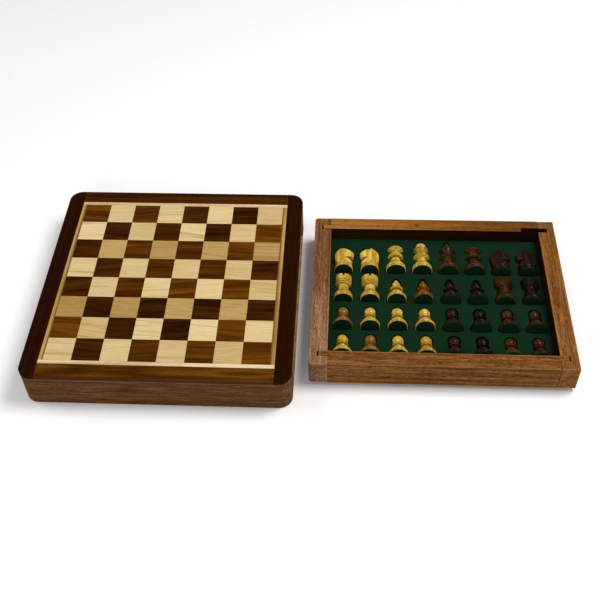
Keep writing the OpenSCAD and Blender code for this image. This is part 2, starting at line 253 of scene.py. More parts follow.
# %% Lights and floor
def soft_box(name, place, aim, size, watts):
    light = bpy.data.lights.new(name, "AREA")
    light.shape = "DISK"
    light.size = size
    light.energy = watts
    lamp = placed(name, light)
    lamp.location = place
    lamp.rotation_euler = (Vector(aim) - Vector(place)).to_track_quat("-Z", "Y").to_euler()


MIDDLE = (0.09, 0.0, 0.02)
soft_box("key_box", (0.55, 0.1, 0.95), MIDDLE, 0.5, 8.0)
soft_box("left_box", (-0.75, 0.1, 0.8), MIDDLE, 0.6, 3.2)
soft_box("front_box", (0.0, -1.0, 0.6), MIDDLE, 0.5, 2.6)

world = bpy.data.worlds.new("studio")
world.use_nodes = True
background = world.node_tree.nodes["Background"].inputs
background["Color"].default_value = (1.0, 1.0, 1.0, 1.0)
background["Strength"].default_value = 0.3
bpy.context.scene.world = world
bpy.context.scene.view_settings.view_transform = "Standard"

floor_finish, graph = new_finish("floor_paper")
grain = noise(graph, in_mm(graph), (0.15, 0.15, 0.15), detail=4.0)
close_finish(graph, {"Base Color": mixed(graph, grain, shade(249, 249, 248), shade(253, 253, 253))},
             {"Roughness": 0.9})
FLOOR_HALF = 3.0
FLOOR_BELOW = 0.05 * MM
floor_mesh = bpy.data.meshes.new("studio_floor")
floor_mesh.from_pydata([(x * FLOOR_HALF, y * FLOOR_HALF, -FLOOR_BELOW) for x, y in
                        ((-1, -1), (1, -1), (1, 1), (-1, 1))], [], [(0, 1, 2, 3)])
floor_mesh.materials.append(floor_finish)
studio_floor = placed("studio_floor", floor_mesh)

# %% [markdown]
# Wood is the finish that matters most here, and every wood on the box is the same five things at
# different strengths. Growth rings are shells round a pith that lies somewhere below the board, so they
# show as slow bands and, where the board dips, as flames. Streaks, lines and fibres are ever finer
# changes of tone along the grain: centimetres, millimetres and a fraction of a millimetre wide. Pores
# are short dark dashes. As all of it is worked out in space, and not on the surface, end grain comes out
# right by itself: dots and arcs, not lines.

# %% The grain of a board
def turned_to_grain(graph, vector, along, seed):
    """The vector with the grain along its first number, moved so that no two boards match."""
    x, y, z = parts_of(graph, vector)
    order = {"X": (x, y, z), "Y": (y, x, z), "Z": (z, x, y)}[along]
    turned = graph.node("ShaderNodeCombineXYZ", {}, dict(enumerate(order)))
    return shifted(graph, turned, (seed * 37.3, seed * 11.9, seed * 5.3))


# Where a plank's pith lies, to the side and below, and how wide a plank is before the next one starts
PITH_MM = (6.0, 14.0)
PLANK_MM = 70.0
# Waves a millimetre, first along the grain and then across it
FIBRES = (0.1, 2.6)
LINES = (0.05, 0.75)
STREAKS = (0.01, 0.16)
PORES = (0.3, 2.4)


def grain_noise(graph, vector, waves, fine, detail, rough=0.5):
    along, across = (w * fine for w in waves)
    return noise(graph, vector, (along, across, across), detail=detail, rough=rough)


def grain_of(graph, vector, ring_mm, bend_mm, fine):
    """Rings, fibres, lines, streaks and pores, each from 0 to 1, for a vector turned to the grain."""
    bend = (noise(graph, vector, (0.012, 0.04, 0.04), detail=1.0) - 0.5) * bend_mm
    _, y, z = parts_of(graph, vector)
    aside = (y + bend) % PLANK_MM - PLANK_MM / 2 - PITH_MM[0]
    away = (aside ** 2.0 + (z + bend * 0.5 + PITH_MM[1]) ** 2.0) ** 0.5
    uneven = noise(graph, vector, (0.004, 0.16, 0.16), detail=1.0) * (2.4 * 2 * math.pi)
    rings = (away * (2 * math.pi / ring_mm) + uneven).math("SINE") * 0.5 + 0.5
    fibres = grain_noise(graph, vector, FIBRES, fine, 4.0, 0.6)
    lines = grain_noise(graph, vector, LINES, fine, 3.0, 0.6)
    streaks = grain_noise(graph, vector, STREAKS, 1.0, 3.0, 0.55)
    pores = step(graph, grain_noise(graph, vector, PORES, fine, 1.0), 0.58, 0.68)
    return rings, fibres, lines, streaks, pores


# %% [markdown]
# Handled edges wear first. The distance from a point on a bar to its nearest edge is easy when the bar
# is a box: of the three distances to its faces one is nearly nothing, the largest doesn't matter, and
# what is left is the distance to the edge. A little noise breaks the line up.

# %% Wear along the edges of a bar
WEAR_MM = 1.1


def edge_wear(graph, vector, node):
    """1 along the edges of a node's box, fading to 0 in WEAR_MM."""
    low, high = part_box(node)
    gaps = []
    for axis, place in enumerate(parts_of(graph, vector)):
        gaps.append((place - low[axis] / MM).math("MINIMUM", high[axis] / MM - place))
    largest = gaps[0].math("MAXIMUM", gaps[1]).math("MAXIMUM", gaps[2])
    edge = gaps[0] + gaps[1] + gaps[2] - largest
    ragged = edge + (noise(graph, vector, (0.6, 0.6, 0.6), detail=3.0) - 0.5) * 1.2
    return 1.0 - step(graph, ragged, 0.15, WEAR_MM)


# %% [markdown]
# A wood finish is then a ramp from its darkest to its lightest tone, read at a blend of rings, fibres,
# lines and streaks, with the pores darkened and cut a few hundredths of a millimetre deep. The oil sits
# in the grain, so pores are duller than the wood between them.

# %% A wood finish
def blended(graph, layers, weights, contrast=1.0):
    """A weighted blend of layers from 0 to 1, with its contrast raised round the middle."""
    total = layers[0] * (weights[0] / sum(weights))
    for layer, weight in zip(layers[1:], weights[1:]):
        total = total + layer * (weight / sum(weights))
    return step(graph, total, 0.5 - 0.22 / contrast, 0.5 + 0.22 / contrast)


def pore_tone(tones):
    """What a pore shows: the darkest tone, darker still."""
    return shade(*[c * 0.6 for c in tones[0]])


def worn_tone(tones):
    """What a rubbed edge shows: the lightest tone, a little lighter."""
    return shade(*[min(255, c * 1.15 + 8) for c in tones[-1]])


def wood(name, tones, along="X", seed=1.0, weights=(0.2, 0.2, 0.3, 0.3), pore=0.5, gloss=0.5, ring_mm=3.2,
         bend_mm=5.0, fine=1.0, contrast=1.0, speckle=0.0, shine=0.015, relief=0.05, worn=None, change=None):
    """tones go from dark to light, and weights are those of rings, fibres, lines and streaks. worn names
    the node whose edges wear. change may alter the colour at the end."""
    material, graph = new_finish(name)
    place = in_mm(graph)
    vector = turned_to_grain(graph, place, along, seed)
    *layers, pores = grain_of(graph, vector, ring_mm, bend_mm, fine)
    fibres = layers[1]
    blend = blended(graph, layers, weights, contrast)
    if speckle:
        blend = blend + (noise(graph, vector, (0.5, 1.5, 1.5), detail=2.0) - 0.5) * speckle
    colour = mixed(graph, pores * pore, toned(graph, tones, blend), pore_tone(tones))
    rough = gloss + pores * 0.2 + (1.0 - fibres) * 0.12
    if worn:
        wear = edge_wear(graph, place, worn)
        colour = mixed(graph, wear * 0.3, colour, worn_tone(tones))
        rough = rough + wear * 0.08
    if change:
        colour = change(graph, place, vector, colour)
    close_finish(graph, {"Base Color": colour, "Roughness": rough}, {"Specular IOR Level": shine},
                 height=fibres * 0.35 - pores * 0.65, relief=relief)
    return material


# %% [markdown]
# The board box's walls are solid bars of a mid brown wood with fine straight grain. In the photograph
# the front wall has nearly no figure, only thousands of short lines along it.

# %% Walls and panels
WALL_TONES = [(66, 38, 16), (96, 63, 32), (126, 90, 54)]
WALL = dict(weights=(0.05, 0.35, 0.5, 0.1), fine=0.9, ring_mm=9.0, bend_mm=9.0, contrast=1.2, speckle=0.7,
            shine=0.03)
wall_front_finish = wood("wall_wood_front", WALL_TONES, seed=2.0, worn="wall_front", **WALL)
wall_back_finish = wood("wall_wood_back", WALL_TONES, seed=3.4, worn="wall_back", **WALL)
PLIES_A_MM = 0.8


def ply_layers(graph, place, vector, colour):
    """A change for wood(): plies show as bands, one above the other, on any cut edge."""
    ply = (parts_of(graph, place)[2] * (PLIES_A_MM * 2 * math.pi)).math("SINE")
    return mixed(graph, step(graph, ply, -0.2, 0.2) * 0.45, colour, shade(96, 66, 40))


PLY_TONES = [(146, 104, 60), (184, 142, 92), (204, 168, 116)]
ply_finish = wood("plywood_sheet", PLY_TONES, seed=5.0, pore=0.35, gloss=0.6, ring_mm=6.0, change=ply_layers)
print("finishes so far:", len(bpy.data.materials))

# %% [markdown]
# The frame round the board is four strips of three woods: nearly black rosewood from front to back on
# the left and right, a dark brown one at the back and a golden brown one with dark flames at the front.
# The front strip's outer edge is dark and a little purple, a thin line between the top and the wall: partly
# the strip's own dark edge, partly painted shade.

# %% Frame strips
def face_toned(graph, place, colour, axis, edge_mm, tone, amount, soft_mm):
    """Mixes a tone into the side of a bar that lies at edge_mm and looks down the axis."""
    depth = parts_of(graph, place)[axis] - edge_mm
    return mixed(graph, (1.0 - step(graph, depth, 0.2, 0.2 + soft_mm)) * amount, colour, shade(*tone))


# Painted shade: the front strip's outer side is darkened toward purple, partly its own dark edge and partly
# the shade between the top and the wall.
def shaded_outer_edge(graph, place, vector, colour):
    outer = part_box("frame_front")[0].y / MM
    return face_toned(graph, place, colour, 1, outer, (66, 40, 32), 1.0, 0.4)


STRIP_GLOSS = 0.42
ROSEWOOD = dict(along="Y", weights=(0.1, 0.4, 0.3, 0.2), contrast=0.8, gloss=STRIP_GLOSS)
rosewood_left = wood("rosewood_left", [(25, 5, 1), (36, 11, 1), (50, 20, 4)], seed=7.0, worn="frame_left",
                     **ROSEWOOD)
rosewood_right = wood("rosewood_right", [(28, 8, 1), (38, 13, 1), (50, 22, 5)], seed=8.3, worn="frame_right",
                      **ROSEWOOD)
walnut_back = wood("walnut_back", [(40, 14, 1), (57, 26, 2), (76, 40, 9)], seed=9.1,
                   weights=(0.2, 0.15, 0.35, 0.3), gloss=STRIP_GLOSS, worn="frame_back")
sheesham_front = wood("sheesham_front", [(60, 29, 2), (77, 42, 3), (86, 50, 5), (102, 64, 12)], seed=10.7,
                      weights=(0.3, 0.15, 0.25, 0.3), gloss=STRIP_GLOSS, bend_mm=14.0,
                      change=shaded_outer_edge)
print("strips:", [m.name for m in (rosewood_left, rosewood_right, walnut_back, sheesham_front)])

# %% [markdown]
# A light strip runs round the squares. On the real board the left and right strips have a thin line of
# yellower wood along the side next to the squares, so their finish turns ochre there.

# %% Inlay strips
LINE_MM = 1.0


def inner_line(node):
    """A change for wood(): a thin ochre line along the side of an end strip that meets the squares."""
    low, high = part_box(node)
    edge = high.x / MM if high.x < 0 else low.x / MM
    way = -1 if high.x < 0 else 1

    def change(graph, place, vector, colour):
        depth = (parts_of(graph, place)[0] - edge) * way
        line = 1.0 - step(graph, depth, LINE_MM * 0.85, LINE_MM * 1.1)
        return mixed(graph, line * 0.85, colour, shade(112, 78, 32))
    return change


END_INLAY_TONES = [(140, 102, 50), (166, 132, 74), (186, 154, 98)]
SIDE_INLAY_TONES = [(180, 148, 102), (208, 180, 138), (230, 206, 166)]
INLAY_PORE = 0.25
inlay_finishes = {}
for name, seed in (("inlay_left", 12.0), ("inlay_right", 13.5)):
    inlay_finishes[name] = wood(name + "_wood", END_INLAY_TONES, along="Y", seed=seed, pore=INLAY_PORE,
                                change=inner_line(name))
for name, seed in (("inlay_front", 14.2), ("inlay_back", 15.9)):
    inlay_finishes[name] = wood(name + "_wood", SIDE_INLAY_TONES, seed=seed, pore=INLAY_PORE)
print("inlay:", list(inlay_finishes))

# %% [markdown]
# Each square was sawn from a different bit of wood, so the tone has to jump from square to square. A
# White Noise node fed with the whole number of the column and the row gives one random value a square,
# and the same node's random colour shifts the grain and turns it a little, so that no line runs on into
# the next square. Light squares also show a thin late ring here and there. In the photograph the light
# squares of the third and sixth rows from the back come from a tanner plank.

# %% Squares
SQUARE = (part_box("inlay_right")[0].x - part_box("inlay_left")[1].x) / 8
SIDE_MM = SQUARE / MM
TAN_ROWS = (5, 2)
GLUE_MM = 0.16
SLANT = 0.28
SQUARE_GLOSS = 0.5
SQUARE_BEND_MM = 9.0
# How far, in mm, the grain may be shifted from one square to the next
SHIFT_MM = (900.0, 900.0, 60.0)


def square_edge(graph, x, y):
    """1 along the outline of every square, where glue and dust darken the wood."""
    across = (x / SIDE_MM + 40.0) % 1.0 - 0.5
    along = (y / SIDE_MM + 40.0) % 1.0 - 0.5
    far = across.math("ABSOLUTE").math("MAXIMUM", along.math("ABSOLUTE"))
    return step(graph, far, 0.5 - GLUE_MM / SIDE_MM, 0.5 - 0.3 * GLUE_MM / SIDE_MM)


def square_finish(name, tones, seed, weights, pore, jump, depth, fine=1.0, ring_mm=3.4, thin=0.0, rows=(),
                  row_tone=None):
    """Wood whose tone jumps from square to square. thin is the strength of thin ring lines. rows, counted
    from the front, are mixed with row_tone."""
    material, graph = new_finish(name)
    place = in_mm(graph)
    x, y, _ = parts_of(graph, place)
    column, row = [(value / SIDE_MM + 4.0).math("FLOOR") for value in (x, y)]
    cell = graph.node("ShaderNodeCombineXYZ", {}, {0: column, 1: row, 2: seed})
    chance = graph.node("ShaderNodeTexWhiteNoise", {"noise_dimensions": "3D"}, {"Vector": cell})
    shift = scaled(graph, chance.other("Color"), SHIFT_MM)
    along, across, down = parts_of(graph, shifted(graph, place, shift))
    slant = (parts_of(graph, chance.other("Color"))[1] - 0.5) * SLANT
    moved = graph.node("ShaderNodeCombineXYZ", {}, {0: along + across * slant, 1: across - along * slant,
                                                    2: down})
    *layers, pores = grain_of(graph, moved, ring_mm, SQUARE_BEND_MM, fine)
    rings, fibres, _, streaks = layers
    tone = 0.5 + (blended(graph, layers, weights) - 0.5) * depth + (chance - 0.5) * jump
    colour = mixed(graph, pores * pore, toned(graph, tones, tone), pore_tone(tones))
    if thin:
        line = step(graph, rings, 0.9, 0.99) * step(graph, streaks, 0.35, 0.6)
        colour = mixed(graph, line * thin, colour, shade(*tones[0]))
    for number in rows:
        here = 1.0 - step(graph, (row - float(number)) ** 2.0, 0.1, 0.2)
        colour = mixed(graph, here, colour, shade(*row_tone), blend="MULTIPLY")
    glued = square_edge(graph, x, y)
    colour = mixed(graph, glued * 0.45, colour, shade(40, 20, 6))
    rough = SQUARE_GLOSS + pores * 0.15 + (1.0 - fibres) * 0.1
    close_finish(graph, {"Base Color": colour, "Roughness": rough},
                 {"Specular IOR Level": 0.015}, height=fibres * 0.3 - pores * 0.7, relief=0.03)
    return material


light_square_finish = square_finish(
    "light_square_veneer", [(164, 132, 76), (196, 168, 114), (213, 188, 137), (228, 207, 162)], 3.0,
    rows=TAN_ROWS, row_tone=(217, 202, 174), jump=0.5, depth=0.45, pore=0.12, weights=(0.0, 0.35, 0.45, 0.2),
    fine=1.1, ring_mm=4.6, thin=0.55)
dark_square_finish = square_finish(
    "dark_square_veneer", [(34, 13, 1), (58, 27, 2), (78, 40, 3), (110, 62, 8)], 11.0, jump=0.65, depth=0.75,
    weights=(0.1, 0.2, 0.2, 0.5), pore=0.3)
print("a square is", round(SIDE_MM, 3), "mm")

# %% [markdown]
# The tray's rails are four different bits of a coarser wood. The pull end is pinkish with red flecks,
# and greyer on its outer face. The back rail is golden, darker toward the far end, and has a small knot.
# The front rail is a warmer brown. Where the back rail and the far end look into the tray they are painted
# nearly black as shade, and so is the slot that the broken tongue left in the corner between them.

# %% Tray rails
# The notch and slot that the broken tongue left, in mm from the corner where the two rails meet inside
TORN_X_MM = (-12.2, 7.2)
TORN_Y_MM = (-0.2, 4.2)


def painted_slot_shade(graph, place, colour):
    """Painted shade: nearly black in the notch and in the slot, below the rim."""
    low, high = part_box("end_rail_far")
    corner = Vector((low.x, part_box("side_rail_back")[0].y, high.z)) / MM
    x, y, z = parts_of(graph, place)
    inside = 1.0 - step(graph, z, corner.z - 0.4, corner.z - 0.25)
    for value, start, (low, high) in ((x, corner.x, TORN_X_MM), (y, corner.y, TORN_Y_MM)):
        inside = inside * step(graph, value, start + low - 0.05, start + low)
        inside = inside * (1.0 - step(graph, value, start + high, start + high + 0.05))
    return mixed(graph, inside * 0.92, colour, shade(20, 13, 10))


def pull_change(graph, place, vector, colour):
    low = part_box("end_rail_pull")[0]
    flecks = step(graph, noise(graph, vector, (0.16, 0.9, 0.9), detail=3.0), 0.58, 0.72)
    colour = mixed(graph, flecks * 0.5, colour, shade(118, 60, 34))
    back_half = step(graph, parts_of(graph, place)[1], -20.0, 15.0)
    colour = mixed(graph, back_half, colour, shade(218, 198, 172), blend="MULTIPLY")
    return face_toned(graph, place, colour, 0, low.x / MM, (112, 88, 70), 0.6, 0.5)


KNOT_MM = 1.3
KNOT_ALONG_MM = 69.0
KNOT_STRETCH = Vector((0.6, 1.0, 0.3))


def knotted(graph, place, colour, centre):
    """Darkens a small knot at centre and pulls rings round it."""
    away = graph.node("ShaderNodeVectorMath", {"operation": "DISTANCE"},
                      {0: scaled(graph, place, KNOT_STRETCH), 1: centre * KNOT_STRETCH}, output="Value")
    swirl = (away * 4.5).math("SINE") * 0.5 + 0.5
    swirl = swirl * (1.0 - step(graph, away, KNOT_MM, KNOT_MM * 5.0))
    core = 1.0 - step(graph, away, KNOT_MM * 0.3, KNOT_MM)
    colour = mixed(graph, swirl * 0.35, colour, shade(106, 62, 20))
    return mixed(graph, core * 0.8, colour, shade(84, 44, 14))


def back_change(graph, place, vector, colour):
    low, high = [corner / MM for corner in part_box("side_rail_back")]
    spot = Vector((low.x + KNOT_ALONG_MM, (low.y + high.y) / 2 - 0.5, high.z))
    colour = knotted(graph, place, colour, spot)
    far_end = step(graph, parts_of(graph, place)[0], low.x + 10.0, high.x)
    colour = mixed(graph, far_end, colour, shade(176, 158, 122), blend="MULTIPLY")
    # Painted shade: the back rail's inner face, which looks into the tray, is darkened nearly black.
    colour = face_toned(graph, place, colour, 1, low.y, (22, 11, 4), 0.92, 0.3)
    return painted_slot_shade(graph, place, colour)


def far_change(graph, place, vector, colour):
    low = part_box("end_rail_far")[0]
    flecks = step(graph, noise(graph, vector, (0.2, 1.1, 1.1), detail=3.0), 0.56, 0.7)
    colour = mixed(graph, flecks * 0.35, colour, shade(172, 124, 74))
    # Painted shade: the far rail's inner face, which looks into the tray, is darkened nearly black.
    colour = face_toned(graph, place, colour, 0, low.x / MM, (30, 8, 3), 0.95, 0.5)
    return painted_slot_shade(graph, place, colour)


RAIL = dict(weights=(0.08, 0.37, 0.4, 0.15), ring_mm=8.0, bend_mm=9.0, contrast=1.1, speckle=1.0,
            shine=0.03)
COARSE = dict(fine=0.75, relief=0.09, **RAIL)
rail_finishes = {
    "end_rail_pull": wood("pull_rail_oiled", [(98, 60, 36), (126, 88, 60), (164, 128, 100)], along="Y",
                          seed=21.0, pore=0.7, worn="end_rail_pull", change=pull_change, **COARSE),
    "side_rail_back": wood("back_rail_oiled", [(114, 68, 18), (144, 95, 38), (166, 118, 58)], seed=22.6,
                           pore=0.5, worn="side_rail_back", change=back_change, fine=0.8, relief=0.07,
                           **RAIL),
    "side_rail_front": wood("front_rail_oiled", [(80, 42, 8), (114, 71, 28), (146, 104, 60)], seed=24.1,
                            pore=0.75, worn="side_rail_front", **COARSE),
    "end_rail_far": wood("far_rail_oiled", [(94, 54, 18), (123, 78, 34), (152, 108, 64)], along="Y",
                         seed=25.8, pore=0.7, worn="end_rail_far", change=far_change, **COARSE),
}
print("rails:", list(rail_finishes))

# %% [markdown]
# The lining is flocked felt: a matt dark green with short fibres that catch a little light edge on. Its
# colour wanders slowly, a few pale specks of lint lie on it, and the sheen is one constant set on the
# shader. The foam under it is black, and the tray's floor is only seen as darkness in the pockets.

# %% Felt, foam, floor and steel
def flock(name, dark, light, lint=0.0):
    material, graph = new_finish(name)
    place = in_mm(graph)
    slow = noise(graph, place, (0.03, 0.03, 0.03), detail=3.0)
    fibres = noise(graph, place, (5.0, 5.0, 5.0), detail=3.0, rough=0.7)
    colour = mixed(graph, slow * 0.6 + fibres * 0.4, shade(*dark), shade(*light))
    if lint:
        specks = step(graph, noise(graph, place, (0.9, 0.9, 0.9), detail=2.0), 0.77, 0.8)
        colour = mixed(graph, specks * lint, colour, shade(190, 196, 188))
    close_finish(graph, {"Base Color": colour, "Roughness": 0.92 + fibres * 0.06},
                 {"Sheen Weight": 0.06, "Sheen Roughness": 0.4, "Sheen Tint": shade(120, 190, 150),
                  "Specular IOR Level": 0.1}, height=fibres, relief=0.12)
    return material


def plain_grained(name, dark, light, size, rough, metal=0.0, relief=0.05, stretch=(1.0, 1.0, 1.0)):
    """A simple finish for what hardly shows: two tones over a stretched noise, with relief."""
    material, graph = new_finish(name)
    cells = noise(graph, in_mm(graph), tuple(size * s for s in stretch), detail=4.0)
    close_finish(graph, {"Base Color": mixed(graph, cells, shade(*dark), shade(*light)),
                         "Roughness": rough + cells * 0.1}, {"Metallic": metal}, height=cells, relief=relief)
    return material


felt_finish = flock("flocked_felt", (4, 29, 13), (11, 44, 22), lint=0.3)
pad_finish = flock("pad_felt", (4, 27, 12), (10, 38, 19))
foam_finish = plain_grained("black_foam", (7, 10, 8), (16, 20, 17), 2.2, 0.9, relief=0.2)
tray_floor_finish = plain_grained("tray_floor_flock", (4, 16, 8), (9, 28, 15), 3.0, 0.95, relief=0.1)
steel_finish = plain_grained("brushed_sheet", (132, 134, 136), (178, 180, 182), 0.6, 0.34, metal=1.0,
                             relief=0.01, stretch=(0.05, 3.0, 3.0))
print("soft finishes:", felt_finish.name, pad_finish.name, foam_finish.name)

# %% [markdown]
# A bar from the frame has knife edges, which no real wood has and which catch no light. A copy of the
# node's mesh is cleaned up, its loose triangles joined again into flat faces, and its edges eased with a
# small round. The copy then stands for the node. Flat faces stay flat shaded and rounds are smooth.

# %% Easing the edges of a node
FLAT = 0.9999
SHARP = math.radians(30)
WELD = 0.001 * MM


def body_of_node(node):
    return next(body for body, nodes in frame["record"]["behaviour"]["bodies"].items() if node in nodes)


def slot_of_node(node):
    return next(part["material_slot"] for part in frame["record"]["subparts"] if part["node"] == node)


def cleaned(node):
    """A bmesh of a node with its triangles joined into flat faces."""
    mesh = bmesh.new()
    mesh.from_mesh(frame["nodes"][node].data)
    bmesh.ops.remove_doubles(mesh, verts=mesh.verts, dist=WELD)
    bmesh.ops.dissolve_limit(mesh, angle_limit=math.radians(1.0), verts=mesh.verts, edges=mesh.edges)
    return mesh


def add_piece(name, mesh, node, finishes):
    """Turns a bmesh into a piece that stands for a node and rides on its body."""
    for face in mesh.faces:
        face.smooth = max(abs(c) for c in face.normal) < FLAT
    data = bpy.data.meshes.new(name)
    mesh.to_mesh(data)
    mesh.free()
    for finish in finishes:
        data.materials.append(finish)
    piece = placed(name, data)
    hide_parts(node)
    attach(piece, body_of_node(node))
    slot_of_node(node)
    return piece


def eased(node, finish, round_mm=0.35):
    """A piece for a node, with every sharp edge eased."""
    mesh = cleaned(node)
    sharp = [e for e in mesh.edges if e.is_manifold and e.calc_face_angle() > SHARP]
    bmesh.ops.bevel(mesh, geom=sharp, offset=round_mm * MM, segments=3, profile=0.5, affect="EDGES",
                    clamp_overlap=True)
    return add_piece(node + "_eased", mesh, node, [finish])


# %% [markdown]
# Each bar gets a round that fits its work. Walls and rails are rubbed soft by hands, while the strips of
# the frame were planed flush with the squares and are only just eased.

# %% Bars, strips and rails
eased("wall_front", wall_front_finish)
eased("wall_back", wall_back_finish)
eased("bottom_panel", ply_finish, round_mm=0.15)
STRIP_ROUND_MM = 0.12
for node, finish in (("frame_left", rosewood_left), ("frame_right", rosewood_right),
                     ("frame_back", walnut_back), ("frame_front", sheesham_front)):
    eased(node, finish, round_mm=STRIP_ROUND_MM)
for node, finish in inlay_finishes.items():
    eased(node, finish, round_mm=STRIP_ROUND_MM * 0.7)
for node, finish in rail_finishes.items():
    eased(node, finish, round_mm=0.4)

# %% [markdown]
# Some nodes are right as they are and only need a finish on their own slots: the backing panel and
# steel sheet that lie under the squares, the foam strips, and the tray's floor.

# %% Nodes that keep their own mesh
def repaint(node, finish):
    data = frame["nodes"][node].data
    data.materials.clear()
    data.materials.append(finish)


repaint("backing_panel", ply_finish)
repaint("steel_sheet", steel_finish)
repaint("tray_bottom", tray_floor_finish)
foam_nodes = [name for name in frame["nodes"] if name.startswith("pocket_foam")]
for name in foam_nodes:
    repaint(name, foam_finish)
print("repainted foam:", foam_nodes)

# %% [markdown]
# The sixty-four squares are one tile put down again and again, which is what Geometry Nodes are for. A
# grid has a point for each square, and points whose column and row add up to an even number carry the
# light tile, the others the dark one. Each lies a few thousandths of a millimetre higher or lower.

# %% A node group with named inputs
def new_group(name, inputs):
    """A Geometry Nodes group with a mesh in and out, its graph, and its input sockets by name."""
    group = bpy.data.node_groups.new(name, "GeometryNodeTree")
    group.interface.new_socket("Mesh", in_out="INPUT", socket_type="NodeSocketGeometry")
    for label, kind in inputs.items():
        group.interface.new_socket(label, in_out="INPUT", socket_type="NodeSocket" + kind)
    group.interface.new_socket("Mesh", in_out="OUTPUT", socket_type="NodeSocketGeometry")
    graph = Graph(group)
    first = graph.node("NodeGroupInput")
    return group, graph, {label: first.other(label) for label in ("Mesh", *inputs)}


def end_group(graph, result, finish):
    """Realizes the instances, sets the finish and joins the result to the group's output."""
    solid = graph.node("GeometryNodeRealizeInstances", {}, {0: result})
    painted = graph.node("GeometryNodeSetMaterial", {}, {"Geometry": solid, "Material": finish})
    graph.node("NodeGroupOutput", {}, {0: painted})


def run_group(data, group, values):
    """Runs a group on a mesh and gives the plain mesh that comes out."""
    worker = placed("worker", data)
    modifier = worker.modifiers.new("run", "NODES")
    modifier.node_group = group
    for item in group.interface.items_tree:
        if item.in_out == "INPUT" and item.name in values:
            modifier[item.identifier] = values[item.name]
    state = bpy.context.evaluated_depsgraph_get()
    result = bpy.data.meshes.new_from_object(worker.evaluated_get(state), preserve_all_data_layers=True,
                                             depsgraph=state)
    worker.modifiers.clear()
    bpy.data.objects.remove(worker)
    finish = result.materials[-1]
    result.materials.clear()
    result.materials.append(finish)
    result.polygons.foreach_set("material_index", [0] * len(result.polygons))
    return result


# %% [markdown]
# The group makes the grid, keeps the points of one parity, moves each up or down by a random hair, and
# puts the tile there. Squares that are glued down one by one are never quite level, which is why a
# highlight on a real board breaks at the joints.

# %% The squares' group
squares_group, graph, given = new_group("lay_squares", {
    "Pitch": "Float", "Parity": "Int", "Lift": "Float", "Seed": "Int", "Wood": "Material"})
span = given["Pitch"] * 7.0
points = graph.node("GeometryNodeMeshGrid", {}, {"Size X": span, "Size Y": span,
                                                 "Vertices X": 8, "Vertices Y": 8})
column, row, _ = parts_of(graph, graph.node("GeometryNodeInputPosition"))
number = ((column + row) / given["Pitch"] + 7.0).math("ROUND")
right_square = (number % 2.0 - given["Parity"]).math("ABSOLUTE") < 0.5
lift = graph.node("FunctionNodeRandomValue", {"data_type": "FLOAT"},
                  {"Min": given["Lift"] * -1.0, "Max": given["Lift"], "Seed": given["Seed"]}, output="Value")
raised = graph.node("GeometryNodeSetPosition", {}, {
    "Geometry": points, "Offset": graph.node("ShaderNodeCombineXYZ", {}, {"Z": lift})})
laid = graph.node("GeometryNodeInstanceOnPoints", {}, {"Points": raised, "Selection": right_square,
                                                       "Instance": given["Mesh"]})
end_group(graph, laid, given["Wood"])
print("group:", squares_group.name, "nodes:", len(squares_group.nodes))

# %% [markdown]
# The tile is a little smaller than its place, for the gap that the saw and the sanding leave, and its top
# edges are eased. The group then runs once for each colour.

# %% Laying the squares
SAW_GAP = 0.02 * MM
TILE_ROUND = 0.09 * MM
LIFT = 0.004 * MM


def square_tile(low_z, high_z):
    """One square at the middle of the board, with its top edges eased."""
    mesh = bmesh.new()
    bmesh.ops.create_cube(mesh, size=1.0)
    side = SQUARE - 2 * SAW_GAP
    bmesh.ops.transform(mesh, matrix=Matrix.Translation((0, 0, (low_z + high_z) / 2))
                        @ Matrix.Diagonal((side, side, high_z - low_z, 1)), verts=mesh.verts)
    top = [e for e in mesh.edges if all(v.co.z > high_z - TILE_ROUND for v in e.verts)]
    bmesh.ops.bevel(mesh, geom=top, offset=TILE_ROUND, segments=2, profile=0.5, affect="EDGES")
    data = bpy.data.meshes.new("tile")
    mesh.to_mesh(data)
    mesh.free()
    return data


for node, parity, finish in (("light_squares", 0, light_square_finish),
                             ("dark_squares", 1, dark_square_finish)):
    low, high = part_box(node)
    laid = run_group(square_tile(low.z, high.z - LIFT), squares_group,
                     {"Pitch": SQUARE, "Parity": parity, "Lift": LIFT, "Seed": 5 + parity, "Wood": finish})
    mesh = bmesh.new()
    mesh.from_mesh(laid)
    piece = add_piece(node + "_laid", mesh, node, [finish])
    print(piece.name, len(piece.data.polygons), "faces")

# %% [markdown]
# The men are turned on a lathe, all but the heads of the knights, so each kind is one outline. A point
# is a share of the base's radius and a share of the height, from the foot up. A third number bends the
# stretch that leads to the point: above 0 it swells into a bead, below 0 it is hollowed into a cove.

